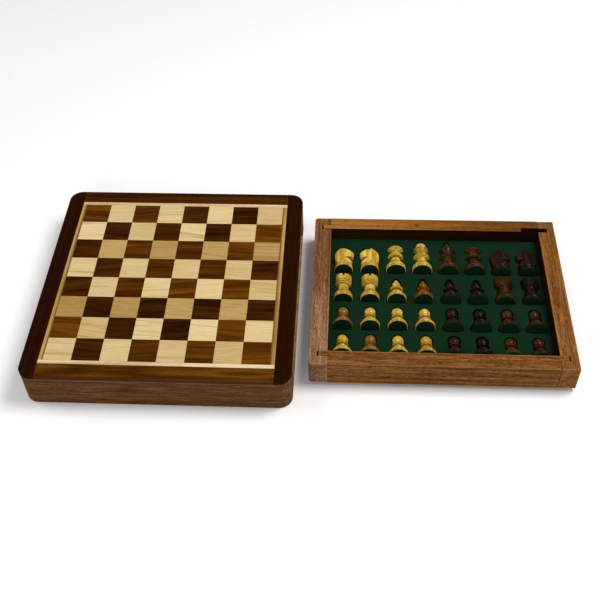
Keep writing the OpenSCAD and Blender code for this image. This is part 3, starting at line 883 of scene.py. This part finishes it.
# %% Outlines of the men
FOOT = [(0.0, 0.0), (0.955, 0.0), (1.0, 0.012, 0.4)]
OUTLINES = {
    "king": [(1.0, 0.055), (0.955, 0.078), (0.885, 0.17, 0.4), (0.71, 0.222, -0.2), (0.69, 0.238),
             (0.66, 0.285, 0.6), (0.5, 0.297), (0.445, 0.4, -0.05), (0.45, 0.475), (0.5, 0.488, -0.2),
             (0.78, 0.504), (0.78, 0.53, 0.8), (0.6, 0.552), (0.52, 0.558), (0.52, 0.592, 0.5),
             (0.47, 0.602), (0.47, 0.64), (0.74, 0.765), (0.75, 0.772), (0.75, 0.797, 0.7),
             (0.55, 0.812), (0.525, 0.822), (0.54, 0.9), (0.52, 0.965), (0.46, 0.992, 0.35), (0.0, 1.0)],
    "queen": [(1.0, 0.058), (0.95, 0.083), (0.89, 0.185, 0.42), (0.735, 0.24, -0.25), (0.7, 0.255),
              (0.69, 0.305, 0.6), (0.56, 0.315), (0.5, 0.457, -0.05), (0.43, 0.51, -0.1), (0.74, 0.548),
              (0.74, 0.585, 0.7), (0.6, 0.59), (0.62, 0.6), (0.62, 0.645, 0.6), (0.48, 0.655), (0.44, 0.7),
              (0.44, 0.78), (0.56, 0.81, -0.2), (0.76, 0.835), (0.765, 0.865, 0.75), (0.35, 0.885, -0.05),
              (0.25, 0.892), (0.0, 1.0, 0.55)],
    "bishop": [(1.0, 0.07), (0.95, 0.1), (0.88, 0.2, 0.42), (0.74, 0.235, -0.1), (0.71, 0.255),
               (0.7, 0.31, 0.6), (0.53, 0.325), (0.4, 0.43, -0.1), (0.42, 0.48), (0.66, 0.505),
               (0.66, 0.54, 0.8), (0.47, 0.56), (0.45, 0.57), (0.45, 0.64, 0.2), (0.35, 0.667),
               (0.2, 0.875, 0.5), (0.2, 0.88), (0.0, 1.0, 0.6)],
    "rook": [(1.0, 0.082), (0.955, 0.1), (0.89, 0.21, 0.4), (0.77, 0.265), (0.77, 0.31, 0.6), (0.65, 0.318),
             (0.57, 0.54, -0.05), (0.61, 0.62, -0.15), (0.74, 0.638), (0.74, 0.67, 0.7), (0.7, 0.678),
             (0.84, 0.7), (0.84, 0.73, 0.5), (0.82, 0.742), (0.875, 0.755), (0.89, 0.985), (0.865, 1.0, 0.4),
             (0.66, 1.0), (0.63, 0.985, 0.3), (0.61, 0.885), (0.0, 0.885)],
    "pawn": [(1.0, 0.062), (0.955, 0.078), (0.93, 0.18, 0.3), (0.7, 0.262, -0.15), (0.68, 0.268),
             (0.66, 0.345, 0.5), (0.5, 0.36), (0.41, 0.46, -0.1), (0.41, 0.52), (0.44, 0.53), (0.58, 0.54),
             (0.6, 0.553), (0.58, 0.567), (0.42, 0.585), (0.37, 0.62), (0.0, 1.0, 0.7)],
    "knight": [(1.0, 0.075), (0.95, 0.088), (0.93, 0.165, 0.35), (0.82, 0.172), (0.84, 0.18),
               (0.84, 0.28, 0.45), (0.78, 0.295), (0.0, 0.31)],
}
# The dark king has a narrower crown with a bud on top: these points stand for the last five of a king's,
# and the bud's heights are shares of the finial
CROWN_FROM = -5
CROWN = [(0.525, 0.822), (0.5, 0.9, 0.05), (0.36, 0.97, 0.15), (0.24, 1.0, -0.2)]
BUD = [(0.22, 0.12), (0.23, 0.45, 0.5), (0.1, 0.8, 0.1), (0.0, 1.0, 0.3)]
print("outlines:", {kind: len(points) for kind, points in OUTLINES.items()})

# %% [markdown]
# A man lies tilted in his pocket, so his node's box doesn't say how tall he is. The heights and the
# widths of the bases are kept here as real sizes, the same as in the frame's own source.

# %% Sizes of the men
HEIGHT_MM = {"king": 28.4, "queen": 26.2, "bishop": 22.8, "rook": 21.5, "knight": 23.6, "pawn": 19.9}
BASE_MM = {"king": 14.4, "queen": 14.4, "bishop": 13.7, "rook": 13.6, "knight": 13.5, "pawn": 13.9}
FINIAL_MM = 4.0
PAD_MM = 0.6
PAD_INSET_MM = 0.4
KNIGHT_HALF_MM = 4.0
ARC_STEP = math.radians(14)


def arc(start, end, bend):
    """Points along an arc, after start. bend is the tangent of a quarter of the arc's angle."""
    angle = 4 * math.atan(bend)
    count = max(2, math.ceil(abs(angle) / ARC_STEP))
    chord = Vector(end) - Vector(start)
    across = Vector((chord.y, -chord.x))
    centre = (Vector(start) + Vector(end)) / 2 - across * (0.5 / math.tan(angle / 2))
    spoke = Vector(start) - centre
    points = []
    for i in range(1, count + 1):
        turn = angle * i / count
        points.append(centre + Vector((spoke.x * math.cos(turn) - spoke.y * math.sin(turn),
                                       spoke.x * math.sin(turn) + spoke.y * math.cos(turn))))
    return points


def outline_points(rows, radius, height, foot):
    """An outline in metres, with its bent stretches divided. Its lowest points lie on the pad, at foot."""
    path = [Vector((0.0, foot))]
    for share, level, *bend in rows:
        target = Vector((share * radius, level * height + (foot if level < 0.02 else 0.0)))
        if bend:
            path += arc(path[-1], target, bend[0])
        elif target != path[-1]:
            path.append(target)
    return path


# %% [markdown]
# On the real men a brown stain has stayed in every groove, where the cloth couldn't wipe it off. So the
# outline carries a second number, how hollow it is: at each point, how sharply the line turns inward.
# The stain is wider than the groove, so the number is spread over its neighbours by their distance.

# %% How hollow an outline is
SPREAD_MM = 0.42
SHARP_TURN = math.radians(55)


def hollows(path):
    """From 0 to 1 at each point of an outline, 1 in a sharp groove."""
    sharp = np.zeros(len(path))
    for i in range(1, len(path) - 1):
        before = path[i] - path[i - 1]
        after = path[i + 1] - path[i]
        turn = math.atan2(before.x * after.y - before.y * after.x, before.dot(after))
        sharp[i] = min(1.0, max(0.0, -turn / SHARP_TURN))
    places = np.array([(p.x, p.y) for p in path])
    away = np.linalg.norm(places[:, None] - places[None], axis=2) / (SPREAD_MM * MM)
    return (np.exp(-away ** 2) * sharp[None]).max(1)


def outline_mesh(name, path):
    """The outline as a mesh of points, which the turning group reads by number."""
    data = bpy.data.meshes.new(name)
    data.from_pydata([(p.x, 0.0, p.y) for p in path], [(i, i + 1) for i in range(len(path) - 1)], [])
    hollow = data.attributes.new("hollow", "FLOAT", "POINT")
    hollow.data.foreach_set("value", hollows(path))
    return data


# %% [markdown]
# The lathe is a Geometry Nodes group. It makes a flat grid as long as a full turn and as high as the
# outline has points, and moves each grid point to its place on the turned solid. The seam and the two
# poles are then merged shut. A rook's crown is notched by two crossing bars, cut out after the turning.
# The point's place while the man stands upright is kept as an attribute, because the wood's grain and
# the turning lines belong to the standing man, whichever way he lies.

# %% The turning group
turning_group, graph, given = new_group("turn_on_lathe", {
    "Points": "Int", "Segments": "Int", "Notch Width": "Float", "Notch Floor": "Float", "Wood": "Material"})
sheet = graph.node("GeometryNodeMeshGrid", {}, {
    "Size X": 1.0, "Size Y": 1.0, "Vertices X": given["Segments"] + 1.0, "Vertices Y": given["Points"]})
turn, climb, _ = parts_of(graph, graph.node("GeometryNodeInputPosition"))
index = ((climb + 0.5) * (given["Points"] - 1.0)).math("ROUND")
spot = graph.node("GeometryNodeSampleIndex", {"domain": "POINT", "data_type": "FLOAT_VECTOR"}, {
    "Geometry": given["Mesh"], "Value": graph.node("GeometryNodeInputPosition"), "Index": index})
stain = graph.node("GeometryNodeSampleIndex", {"domain": "POINT", "data_type": "FLOAT"}, {
    "Geometry": given["Mesh"], "Index": index,
    "Value": graph.node("GeometryNodeInputNamedAttribute", {"data_type": "FLOAT"}, {"Name": "hollow"})})
radius, _, tall = parts_of(graph, spot)
angle = (turn + 0.5) * (2 * math.pi)
place = graph.node("ShaderNodeCombineXYZ", {}, {
    0: radius * angle.math("COSINE"), 1: radius * angle.math("SINE"), 2: tall})
stained = graph.node("GeometryNodeStoreNamedAttribute", {"data_type": "FLOAT", "domain": "POINT"},
                     {"Geometry": sheet, "Name": "hollow", "Value": stain})
turned = graph.node("GeometryNodeSetPosition", {}, {"Geometry": stained, "Position": place})
SEAM_WELD = 0.002 * MM
closed = graph.node("GeometryNodeMergeByDistance", {}, {"Geometry": turned, "Distance": SEAM_WELD})
BAR = 0.03
middle = graph.node("ShaderNodeCombineXYZ", {}, {2: given["Notch Floor"] + BAR / 2})
cut = closed
for long, narrow in ((0, 1), (1, 0)):
    size = graph.node("ShaderNodeCombineXYZ", {}, {long: BAR, narrow: given["Notch Width"], 2: BAR})
    block = graph.node("GeometryNodeMeshCube", {}, {"Size": size})
    bar = graph.node("GeometryNodeTransform", {}, {"Geometry": block, "Translation": middle})
    cut = graph.node("GeometryNodeMeshBoolean", {"operation": "DIFFERENCE", "solver": "EXACT"},
                     {"Mesh 1": cut, "Mesh 2": bar})
notched = graph.node("GeometryNodeSwitch", {"input_type": "GEOMETRY"},
                     {"Switch": given["Notch Width"] > 0.0, "False": closed, "True": cut})
end_group(graph, notched, given["Wood"])
print("group:", turning_group.name, "nodes:", len(turning_group.nodes))

# %% [markdown]
# The men are two woods. Light men are boxwood: yellow, faintly lined along the height, with brown in
# the grooves. Dark men are rosewood, from red-brown to nearly black. Each man has a tone of its own,
# stored as an attribute on its mesh, so one finish serves sixteen men. Both are polished, and fine
# rings left by the chisel run round them.

# %% The men's woods
def man_wood(name, tones, deep, groove, groove_amount, gloss, coat):
    """tones are the plain man's, deep what the tone attribute moves them to."""
    material, graph = new_finish(name)
    stand = graph.node("ShaderNodeAttribute", {"attribute_name": "stand"}, output="Vector")
    tone = graph.node("ShaderNodeAttribute", {"attribute_name": "tone"}, output="Fac")
    hollow = graph.node("ShaderNodeAttribute", {"attribute_name": "hollow"}, output="Fac")
    shift = graph.node("ShaderNodeCombineXYZ", {}, {0: tone * 310.0, 1: tone * 170.0, 2: tone * 90.0})
    place = shifted(graph, scaled(graph, stand, (1000, 1000, 1000)), shift)
    vector = turned_to_grain(graph, place, "Z", 4.0)
    rings, fibres, lines, _, pores = grain_of(graph, vector, ring_mm=2.6, bend_mm=3.0, fine=1.4)
    wide = noise(graph, vector, (0.04, 0.3, 0.3), detail=2.0)
    blend = blended(graph, (rings, fibres, lines, wide), (0.12, 0.3, 0.33, 0.25))
    colour = mixed(graph, tone, toned(graph, tones, blend), toned(graph, deep, blend))
    turnings = noise(graph, place, (0.05, 0.05, 5.0), detail=2.0)
    colour = mixed(graph, step(graph, turnings, 0.5, 0.75) * 0.2, colour, shade(*groove))
    colour = mixed(graph, step(graph, hollow + (wide - 0.5) * 0.3, 0.12, 0.75) * groove_amount, colour,
                   shade(*groove))
    colour = mixed(graph, pores * 0.3, colour, shade(*groove))
    close_finish(graph, {"Base Color": colour, "Roughness": gloss + hollow * 0.15 + (1.0 - fibres) * 0.12},
                 {"Coat Weight": coat, "Coat Roughness": 0.14, "Specular IOR Level": 0.05},
                 height=turnings * 0.6 + fibres * 0.25 - pores * 0.3, relief=0.02)
    return material


boxwood = man_wood("turned_boxwood", [(164, 124, 24), (198, 162, 52), (234, 210, 120)],
                   [(66, 32, 2), (100, 62, 10), (146, 100, 28)], (116, 62, 6), 0.85, 0.34, 0.26)
rosewood = man_wood("turned_rosewood", [(8, 3, 1), (22, 8, 4), (44, 18, 10)],
                    [(48, 22, 4), (80, 44, 10), (120, 76, 28)], (10, 4, 2), 0.7, 0.28, 0.1)
print("woods:", boxwood.name, rosewood.name)

# %% [markdown]
# Putting a man down follows how he would really lie: on the rim of his base and on the widest part of
# his upper half. The lean between those two gives his tilt, head down, and his node's box then says
# where his lowest point, his foot and his middle go.

# %% Turning and laying
SEGMENTS = 56
# A rook's notches, as shares of the base's radius and of the height
NOTCH_WIDTH = 0.22
NOTCH_FLOOR = 0.9


def man_outline(kind, finial=False):
    """A man's outline in metres, without the pad."""
    radius = BASE_MM[kind] / 2 * MM
    height = HEIGHT_MM[kind] * MM
    rows = FOOT + OUTLINES[kind]
    if finial:
        bud = [(share, 1 + level * FINIAL_MM / HEIGHT_MM[kind], *bend) for share, level, *bend in BUD]
        rows = rows[:CROWN_FROM] + CROWN + bud
    return outline_points(rows, radius, height, PAD_MM * MM)


def turned_mesh(name, path, finish, notch=0.0, floor=0.0):
    return run_group(outline_mesh(name, path), turning_group, {
        "Points": len(path), "Segments": SEGMENTS, "Notch Width": notch, "Notch Floor": floor,
        "Wood": finish})


def pad_path(kind):
    """The felt pad under a base, with a soft edge."""
    radius = (BASE_MM[kind] / 2 - PAD_INSET_MM) * MM
    top = PAD_MM * MM
    soft = 0.22 * MM
    rim = [(radius - soft, 0), (radius - 0.3 * soft, 0.3 * soft), (radius, soft), (radius, top)]
    return [Vector(place) for place in ((0, 0), *rim, (0, top))]


def lean_of(kind, path):
    """The angle, head down, at which a man lies on the rim of his base and his widest upper part."""
    radius = BASE_MM[kind] / 2 * MM
    if kind == "knight":
        return math.atan((radius - KNIGHT_HALF_MM * MM) / (HEIGHT_MM[kind] * MM))
    return min(math.atan((radius - p.x) / p.y) for p in path if p.y > HEIGHT_MM[kind] * MM / 3)


paths = {kind: man_outline(kind) for kind in OUTLINES}
leans = {kind: round(math.degrees(lean_of(kind, path)), 2) for kind, path in paths.items()}
print("leans in degrees:", leans)

# %% [markdown]
# The knights' heads are sawn from a board and carved: flat sides, rounded edges, a notch under the
# jaw, a pricked ear with a line below it, an eye with a ring round it, a nostril, a mouth and a shallow
# groove along the mane. Each head is rings round a point in the cheek, one inside the other. How far a
# point lies from the outline gives the rounding, and small functions of its place cut the carving.

# %% The knight's silhouette
# The head looks toward -X. Shares of the base's radius and of the height; 1 at the end marks a corner.
HORSE = [(0.78, 0.27, 1), (-0.78, 0.27, 1), (-0.92, 0.3, 1), (-0.23, 0.555, 1), (-0.42, 0.575, 0),
         (-0.64, 0.555, 0), (-0.92, 0.553, 1), (-1.05, 0.6, 0), (-1.08, 0.67, 0), (-1.04, 0.725, 0),
         (-0.93, 0.77, 0), (-0.63, 0.86, 0), (-0.38, 0.915, 0), (-0.22, 0.925, 1), (-0.02, 0.905, 1),
         (0.12, 0.99, 1), (0.3, 0.95, 0), (0.55, 0.885, 0), (0.82, 0.77, 0), (0.96, 0.65, 0),
         (0.99, 0.54, 0), (0.96, 0.42, 0), (0.88, 0.31, 0)]
# One light knight's ear lies low in the photograph: LOW_EAR then stands for the points at EAR.
LOW_EARED = "light_knight_1"
EAR = slice(12, 17)
LOW_EAR = [(-0.38, 0.905, 0), (-0.15, 0.935, 0), (0.05, 0.95, 0), (0.25, 0.948, 0), (0.42, 0.925, 0)]
HEAD_CENTRE = (0.0, 0.66)
HEAD_RINGS = 34
EDGE_MM = 0.7
STEP_MM = 0.4


def smooth_loop(rows, radius, height):
    """A closed outline through the points, smooth except at the corners, as evenly spaced places in mm."""
    points = [Vector((x * radius, z * height)) for x, z, _ in rows]
    count = len(points)
    places = []
    for i in range(count):
        a, b = points[i], points[(i + 1) % count]
        ahead = (b - a) if rows[i][2] else (b - points[i - 1]) / 2
        behind = (b - a) if rows[(i + 1) % count][2] else (points[(i + 2) % count] - a) / 2
        reach = (b - a).length
        ahead = ahead.normalized() * reach if ahead.length else ahead
        behind = behind.normalized() * reach if behind.length else behind
        steps = max(1, round(reach / STEP_MM))
        for k in range(steps):
            t = k / steps
            places.append(a * (2 * t ** 3 - 3 * t ** 2 + 1) + ahead * (t ** 3 - 2 * t ** 2 + t)
                          + b * (3 * t ** 2 - 2 * t ** 3) + behind * (t ** 3 - t ** 2))
    return np.array([(p.x, p.y) for p in places])


loop = smooth_loop(HORSE, BASE_MM["knight"] / 2, HEIGHT_MM["knight"])
print("silhouette points:", len(loop), " width", round(float(np.ptp(loop[:, 0])), 2), "mm")

# %% [markdown]
# Each carved mark is a depth in millimetres at a place on the side of the head. A groove is deepest on
# its line and fades to nothing over its width, and a dimple does the same round a point.

# %% The carving
def stroke(places, start, end, width, depth):
    """Depth of a straight groove from start to end."""
    start, end = np.array(start), np.array(end)
    along = np.clip(((places - start) @ (end - start)) / ((end - start) @ (end - start)), 0, 1)
    away = np.linalg.norm(places - (start + along[:, None] * (end - start)), axis=1)
    return -depth * np.exp(-(away / width) ** 2)


def dimple(places, centre, radius, depth):
    return -depth * np.exp(-(np.linalg.norm(places - np.array(centre), axis=1) / radius) ** 2)


def ring_groove(places, centre, radius, width, depth):
    away = np.linalg.norm(places - np.array(centre), axis=1) - radius
    return -depth * np.exp(-(away / width) ** 2)


def distance_to_loop(places, loop):
    ends = np.roll(loop, -1, axis=0) - loop
    best = np.full(len(places), np.inf)
    for start, end in zip(loop, ends):
        along = np.clip(((places - start) @ end) / max(end @ end, 1e-9), 0, 1)
        best = np.minimum(best, np.linalg.norm(places - (start + along[:, None] * end), axis=1))
    return best


def carving(places, depth_in, radius, height):
    """The relief on the side of the head, in mm. depth_in is the distance to the outline."""
    def at(x, z):
        return (x * radius, z * height)
    eye = at(-0.17, 0.8)
    relief = dimple(places, eye, 0.2, 0.15) + ring_groove(places, eye, 0.55, 0.14, 0.18)
    relief += dimple(places, at(-0.93, 0.68), 0.22, 0.2)
    relief += stroke(places, at(-1.08, 0.62), at(-0.76, 0.63), 0.14, 0.18)
    relief += stroke(places, at(-0.02, 0.9), at(0.1, 0.8), 0.16, 0.12)
    mane = (places[:, 0] > 0.2 * radius) & (places[:, 1] > 0.4 * height)
    return relief - 0.07 * np.exp(-((depth_in - 1.9) / 0.2) ** 2) * mane


def horse_head(radius, height, half, rows):
    """Vertices in metres and faces of a carved head that looks toward -X."""
    loop = smooth_loop(rows, radius, height)
    centre = np.array((HEAD_CENTRE[0] * radius, HEAD_CENTRE[1] * height))
    shares = [1 - i / HEAD_RINGS for i in range(HEAD_RINGS)]
    rings = np.concatenate([centre + (loop - centre) * share for share in shares] + [centre[None]])
    depth_in = distance_to_loop(rings, loop)
    edge = np.clip(depth_in / EDGE_MM, 0, 1)
    sides = half - EDGE_MM * (1 - np.sqrt(1 - (1 - edge) ** 2))
    relief = carving(rings, depth_in, radius, height)
    sides = np.minimum(half, sides + relief * np.clip(depth_in / 0.5, 0.15, 1))
    count, size = len(loop), len(rings)
    verts = [(x * MM, -y * MM, z * MM) for (x, z), y in zip(rings, sides)]
    verts += [(x * MM, y * MM, z * MM) for (x, z), y in zip(rings, sides)]
    faces = []
    for i in range(count):
        j = (i + 1) % count
        for k in range(HEAD_RINGS - 1):
            a, b, c, d = k * count + i, k * count + j, (k + 1) * count + j, (k + 1) * count + i
            faces += [(a, d, c, b), (size + a, size + b, size + c, size + d)]
        last = (HEAD_RINGS - 1) * count
        faces += [(last + i, size - 1, last + j), (size + last + j, 2 * size - 1, size + last + i)]
        faces.append((i, j, size + j, size + i))
    return verts, faces, np.tile(np.clip(-relief / 0.16, 0, 1), 2)


# %% [markdown]
# A man is up to three meshes: the turned wood, the felt pad under his base and a knight's head. They are
# joined into one mesh with a slot for each finish. Every point also stores its place in the standing
# man, which is what the grain is read from.

# %% Joining a man's parts
def knight_head_mesh(finish, low_ear):
    rows = list(HORSE)
    if low_ear:
        rows[EAR] = LOW_EAR
    verts, faces, marks = horse_head(BASE_MM["knight"] / 2, HEIGHT_MM["knight"], KNIGHT_HALF_MM, rows)
    data = bpy.data.meshes.new("head")
    data.from_pydata(verts, [], faces)
    hollow = data.attributes.new("hollow", "FLOAT", "POINT")
    hollow.data.foreach_set("value", marks)
    data.materials.append(finish)
    return data


def joined(meshes, mirror=False):
    """One bmesh of several meshes, keeping each one's finish by number, and the list of finishes."""
    whole = bmesh.new()
    finishes = []
    for data in meshes:
        start = len(whole.faces)
        whole.from_mesh(data)
        whole.faces.ensure_lookup_table()
        finish = data.materials[0]
        if finish not in finishes:
            finishes.append(finish)
        for face in whole.faces[start:]:
            face.material_index = finishes.index(finish)
    if mirror:
        bmesh.ops.transform(whole, matrix=Matrix.Diagonal((-1, 1, 1, 1)), verts=whole.verts)
    bmesh.ops.recalc_face_normals(whole, faces=whole.faces)
    return whole, finishes


def upright_man(kind, finish, finial=False, mirror=False, low_ear=False):
    """A standing man, foot at the origin, with his pad and the attribute that the wood reads."""
    notch = NOTCH_WIDTH * BASE_MM[kind] / 2 * MM if kind == "rook" else 0.0
    path = man_outline(kind, finial)
    meshes = [turned_mesh(kind, path, finish, notch=notch, floor=NOTCH_FLOOR * HEIGHT_MM[kind] * MM),
              turned_mesh(kind + "_pad", pad_path(kind), pad_finish)]
    if kind == "knight":
        meshes.append(knight_head_mesh(finish, low_ear))
    whole, finishes = joined(meshes, mirror)
    stand = whole.verts.layers.float_vector.new("stand")
    for vert in whole.verts:
        vert[stand] = vert.co
    data = bpy.data.meshes.new(kind)
    whole.to_mesh(data)
    whole.free()
    return data, finishes


# %% [markdown]
# In the photograph the light men run from pale yellow to amber, with one bishop and two pawns a clear
# brown, and the dark men run from orange-brown to nearly black. These tones are read off, from 0, the
# plain wood, to 1, the deepest. Then all thirty-two men are laid in their pockets.

# %% Tones and places
TONES = {"light_king": 0.0, "light_queen": 0.0, "light_knight_1": 0.14, "light_knight_2": 0.06,
         "light_rook_1": 0.12, "light_rook_2": 0.16, "light_bishop_1": 0.16, "light_bishop_2": 1.0,
         "light_pawn_1": 0.85, "light_pawn_2": 0.16, "light_pawn_3": 0.1, "light_pawn_4": 0.06,
         "light_pawn_5": 0.04, "light_pawn_6": 0.9, "light_pawn_7": 0.08, "light_pawn_8": 0.4,
         "dark_king": 0.7, "dark_queen": 0.62, "dark_knight_1": 0.12, "dark_knight_2": 0.06,
         "dark_rook_1": 0.46, "dark_rook_2": 0.04, "dark_bishop_1": 0.12, "dark_bishop_2": 0.08,
         "dark_pawn_1": 0.14, "dark_pawn_2": 0.0, "dark_pawn_3": 0.35, "dark_pawn_4": 0.28,
         "dark_pawn_5": 0.16, "dark_pawn_6": 0.0, "dark_pawn_7": 0.62, "dark_pawn_8": 0.34}
SMOOTH_TO = math.radians(38)
standing = {}


def looks_right(node):
    """The first knight of each colour looks right, so that the pair faces each other."""
    return node.endswith("knight_1")


def lay_man(node):
    """Puts a copy of the right upright man into a node's pocket, in that man's own tone."""
    kind = node.split("_")[1]
    finish = boxwood if node.startswith("light") else rosewood
    key = (kind, finish.name, node == "dark_king", looks_right(node), node == LOW_EARED)
    if key not in standing:
        standing[key] = upright_man(kind, finish, *key[2:])
    data, finishes = standing[key]
    data = data.copy()
    data.transform(Matrix.Rotation(-math.pi / 2 - lean_of(kind, paths[kind]), 4, "X"))
    places = np.array([v.co for v in data.vertices])
    low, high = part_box(node)
    middle = (low.x + high.x) / 2
    if kind == "knight":
        base = BASE_MM[kind] / 2 * MM
        middle = low.x + base if looks_right(node) else high.x - base
    data.transform(Matrix.Translation((middle, low.y - places[:, 1].min(), low.z - places[:, 2].min())))
    tone = data.attributes.new("tone", "FLOAT", "POINT")
    tone.data.foreach_set("value", [TONES[node]] * len(data.vertices))
    for finish in finishes:
        data.materials.append(finish)
    data.polygons.foreach_set("use_smooth", [True] * len(data.polygons))
    data.set_sharp_from_angle(angle=SMOOTH_TO)
    man = placed(node + "_turned", data)
    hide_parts(node)
    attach(man, node)
    slot_of_node(node)
    return man


men = [lay_man(node) for node in TONES]
print("men:", len(men), " faces:", sum(len(m.data.polygons) for m in men))

# %% [markdown]
# The back rail's tongue broke off at the far end. What stays in such a slot is a ragged bit of torn wood
# and old glue along its bottom, here a low strip whose top is uneven, in the slot and in the notch.

# %% What is left of the broken tongue
TORN_STEPS = 40
RAGGED_MM = 0.5
STUB_HIGH_MM = 1.6
STUB_INSET_MM = (0.4, 0.3)


def torn_strip(name, low, high, node, finish):
    """A closed strip from low to high whose top is broken up and down."""
    chance = np.random.default_rng(7)
    mesh = bmesh.new()
    rings = []
    for i in range(TORN_STEPS + 1):
        x = low[0] + (high[0] - low[0]) * i / TORN_STEPS
        tops = [high[2] - chance.uniform(0.0, RAGGED_MM) * MM for _ in range(2)]
        rings.append([mesh.verts.new(place) for place in (
            (x, low[1], low[2]), (x, high[1], low[2]), (x, high[1], tops[1]), (x, low[1], tops[0]))])
    for first, second in zip(rings, rings[1:]):
        for j in range(4):
            mesh.faces.new((first[j], first[(j + 1) % 4], second[(j + 1) % 4], second[j]))
    mesh.faces.new(rings[0])
    mesh.faces.new(rings[-1])
    bmesh.ops.recalc_face_normals(mesh, faces=mesh.faces)
    return add_piece(name, mesh, node, [finish])


torn_finish = plain_grained("torn_wood", (12, 7, 4), (30, 18, 10), 2.0, 0.9, relief=0.2)
corner = Vector((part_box("end_rail_far")[0].x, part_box("felt_lining")[1].y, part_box("tray_bottom")[1].z))
inset_x, inset_y = STUB_INSET_MM
low = corner + Vector((TORN_X_MM[0] + inset_x, TORN_Y_MM[0] + inset_y, 0.0)) * MM
high = corner + Vector((TORN_X_MM[1] - inset_x, TORN_Y_MM[1] - inset_y, STUB_HIGH_MM)) * MM
stub = torn_strip("broken_tongue_stub", low, high, "side_rail_back", torn_finish)
print(stub.name, len(stub.data.polygons), "faces")

# %% [markdown]
# The felt is a thin sheet stuck to the foam, and a router has cut a pocket for each man through it. The
# pocket follows the man lying in it closely: his plan, grown by a gap, with no hollow tighter than the
# cutter. In numbers, a row at a time: the man's half width is grown by gap and cutter together, and then
# shrunk by the cutter alone. The outlines and the sheet's edge fill a flat curve, thickened by its
# extrusion and softened by its bevel, because flocked felt has no sharp edge.

# %% The shape of a pocket
GAP_MM = 0.45
CUTTER_MM = 1.6
ROW_MM = 0.3
FELT_SOFT_MM = 0.22
FELT_WELD = 0.004 * MM


def plan_of(man):
    """Places of the man seen from above in mm, close enough together to leave no gaps."""
    spots = np.array([v.co[:2] for v in man.data.vertices]) / MM
    ends = np.array([e.vertices[:] for e in man.data.edges])
    return np.concatenate([spots[ends[:, 0]] * (1 - share) + spots[ends[:, 1]] * share
                           for share in np.linspace(0, 1, 8)])


def rounded_reach(width, rows, at_rows, reach, sign):
    """Grows (sign 1) or shrinks (sign -1) half widths at rows by a disc, read at at_rows."""
    away = at_rows[:, None] - rows[None]
    rise = np.sqrt(np.maximum(reach ** 2 - away ** 2, 0.0))
    moved = np.where(np.abs(away) <= reach + 1e-9, width[None] * sign + rise, -np.inf)
    return sign * moved.max(axis=1)


def pocket_loop(man):
    """The outline of a man's pocket, in mm."""
    plan = plan_of(man)
    middle = (plan[:, 0].min() + plan[:, 0].max()) / 2
    number = np.round((plan[:, 1] - plan[:, 1].min()) / ROW_MM).astype(int)
    rows = plan[:, 1].min() + ROW_MM * np.arange(number.max() + 1)
    grown_rows = np.linspace(rows[0] - GAP_MM - CUTTER_MM, rows[-1] + GAP_MM + CUTTER_MM, 2 * len(rows))
    ends = np.linspace(rows[0] - GAP_MM, rows[-1] + GAP_MM, len(rows))
    sides = []
    for way in (-1, 1):
        half = np.full(len(rows), -np.inf)
        np.maximum.at(half, number, (plan[:, 0] - middle) * way)
        grown = rounded_reach(half, rows, grown_rows, GAP_MM + CUTTER_MM, 1)
        kept = rounded_reach(grown, grown_rows, ends, CUTTER_MM, -1)
        sides.append([(middle + way * w, y) for w, y in zip(np.maximum(kept, 0.05), ends)])
    return sides[0] + sides[1][::-1]


# %% [markdown]
# Blender fills a flat curve between its outer edge and the outlines inside it, so the pockets come out
# as holes. The result is turned into a plain mesh, and its double points are merged.

# %% The felt sheet
low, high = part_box("felt_lining")
sheet_curve = bpy.data.curves.new("felt_sheet", "CURVE")
sheet_curve.dimensions = "2D"
sheet_curve.fill_mode = "BOTH"
corners = ((low.x, low.y), (high.x, low.y), (high.x, high.y), (low.x, high.y))
edge_loop = [(x / MM, y / MM) for x, y in corners]
for points in [edge_loop] + [pocket_loop(man) for man in men]:
    spline = sheet_curve.splines.new("POLY")
    spline.points.add(len(points) - 1)
    spline.points.foreach_set("co", [c for x, y in points for c in (x, y, 0.0, 1.0)])
    spline.use_cyclic_u = True
thick_mm = (high.z - low.z) / MM
soft_mm = min(FELT_SOFT_MM, thick_mm * 0.45)
sheet_curve.extrude = thick_mm / 2 - soft_mm
sheet_curve.bevel_depth = soft_mm
sheet_curve.bevel_resolution = 1
sheet_curve.offset = -soft_mm
worker = placed("felt_worker", sheet_curve)
state = bpy.context.evaluated_depsgraph_get()
sheet_data = bpy.data.meshes.new_from_object(worker.evaluated_get(state))
bpy.data.objects.remove(worker)
sheet_data.transform(Matrix.Translation((0, 0, (low.z + high.z) / 2)) @ Matrix.Scale(MM, 4))
mesh = bmesh.new()
mesh.from_mesh(sheet_data)
bmesh.ops.remove_doubles(mesh, verts=mesh.verts, dist=FELT_WELD)
bmesh.ops.recalc_face_normals(mesh, faces=mesh.faces)
felt = add_piece("felt_lining_cut", mesh, "felt_lining", [felt_finish])
print(felt.name, len(felt.data.polygons), "faces, thickness in mm:", round(thick_mm, 2))
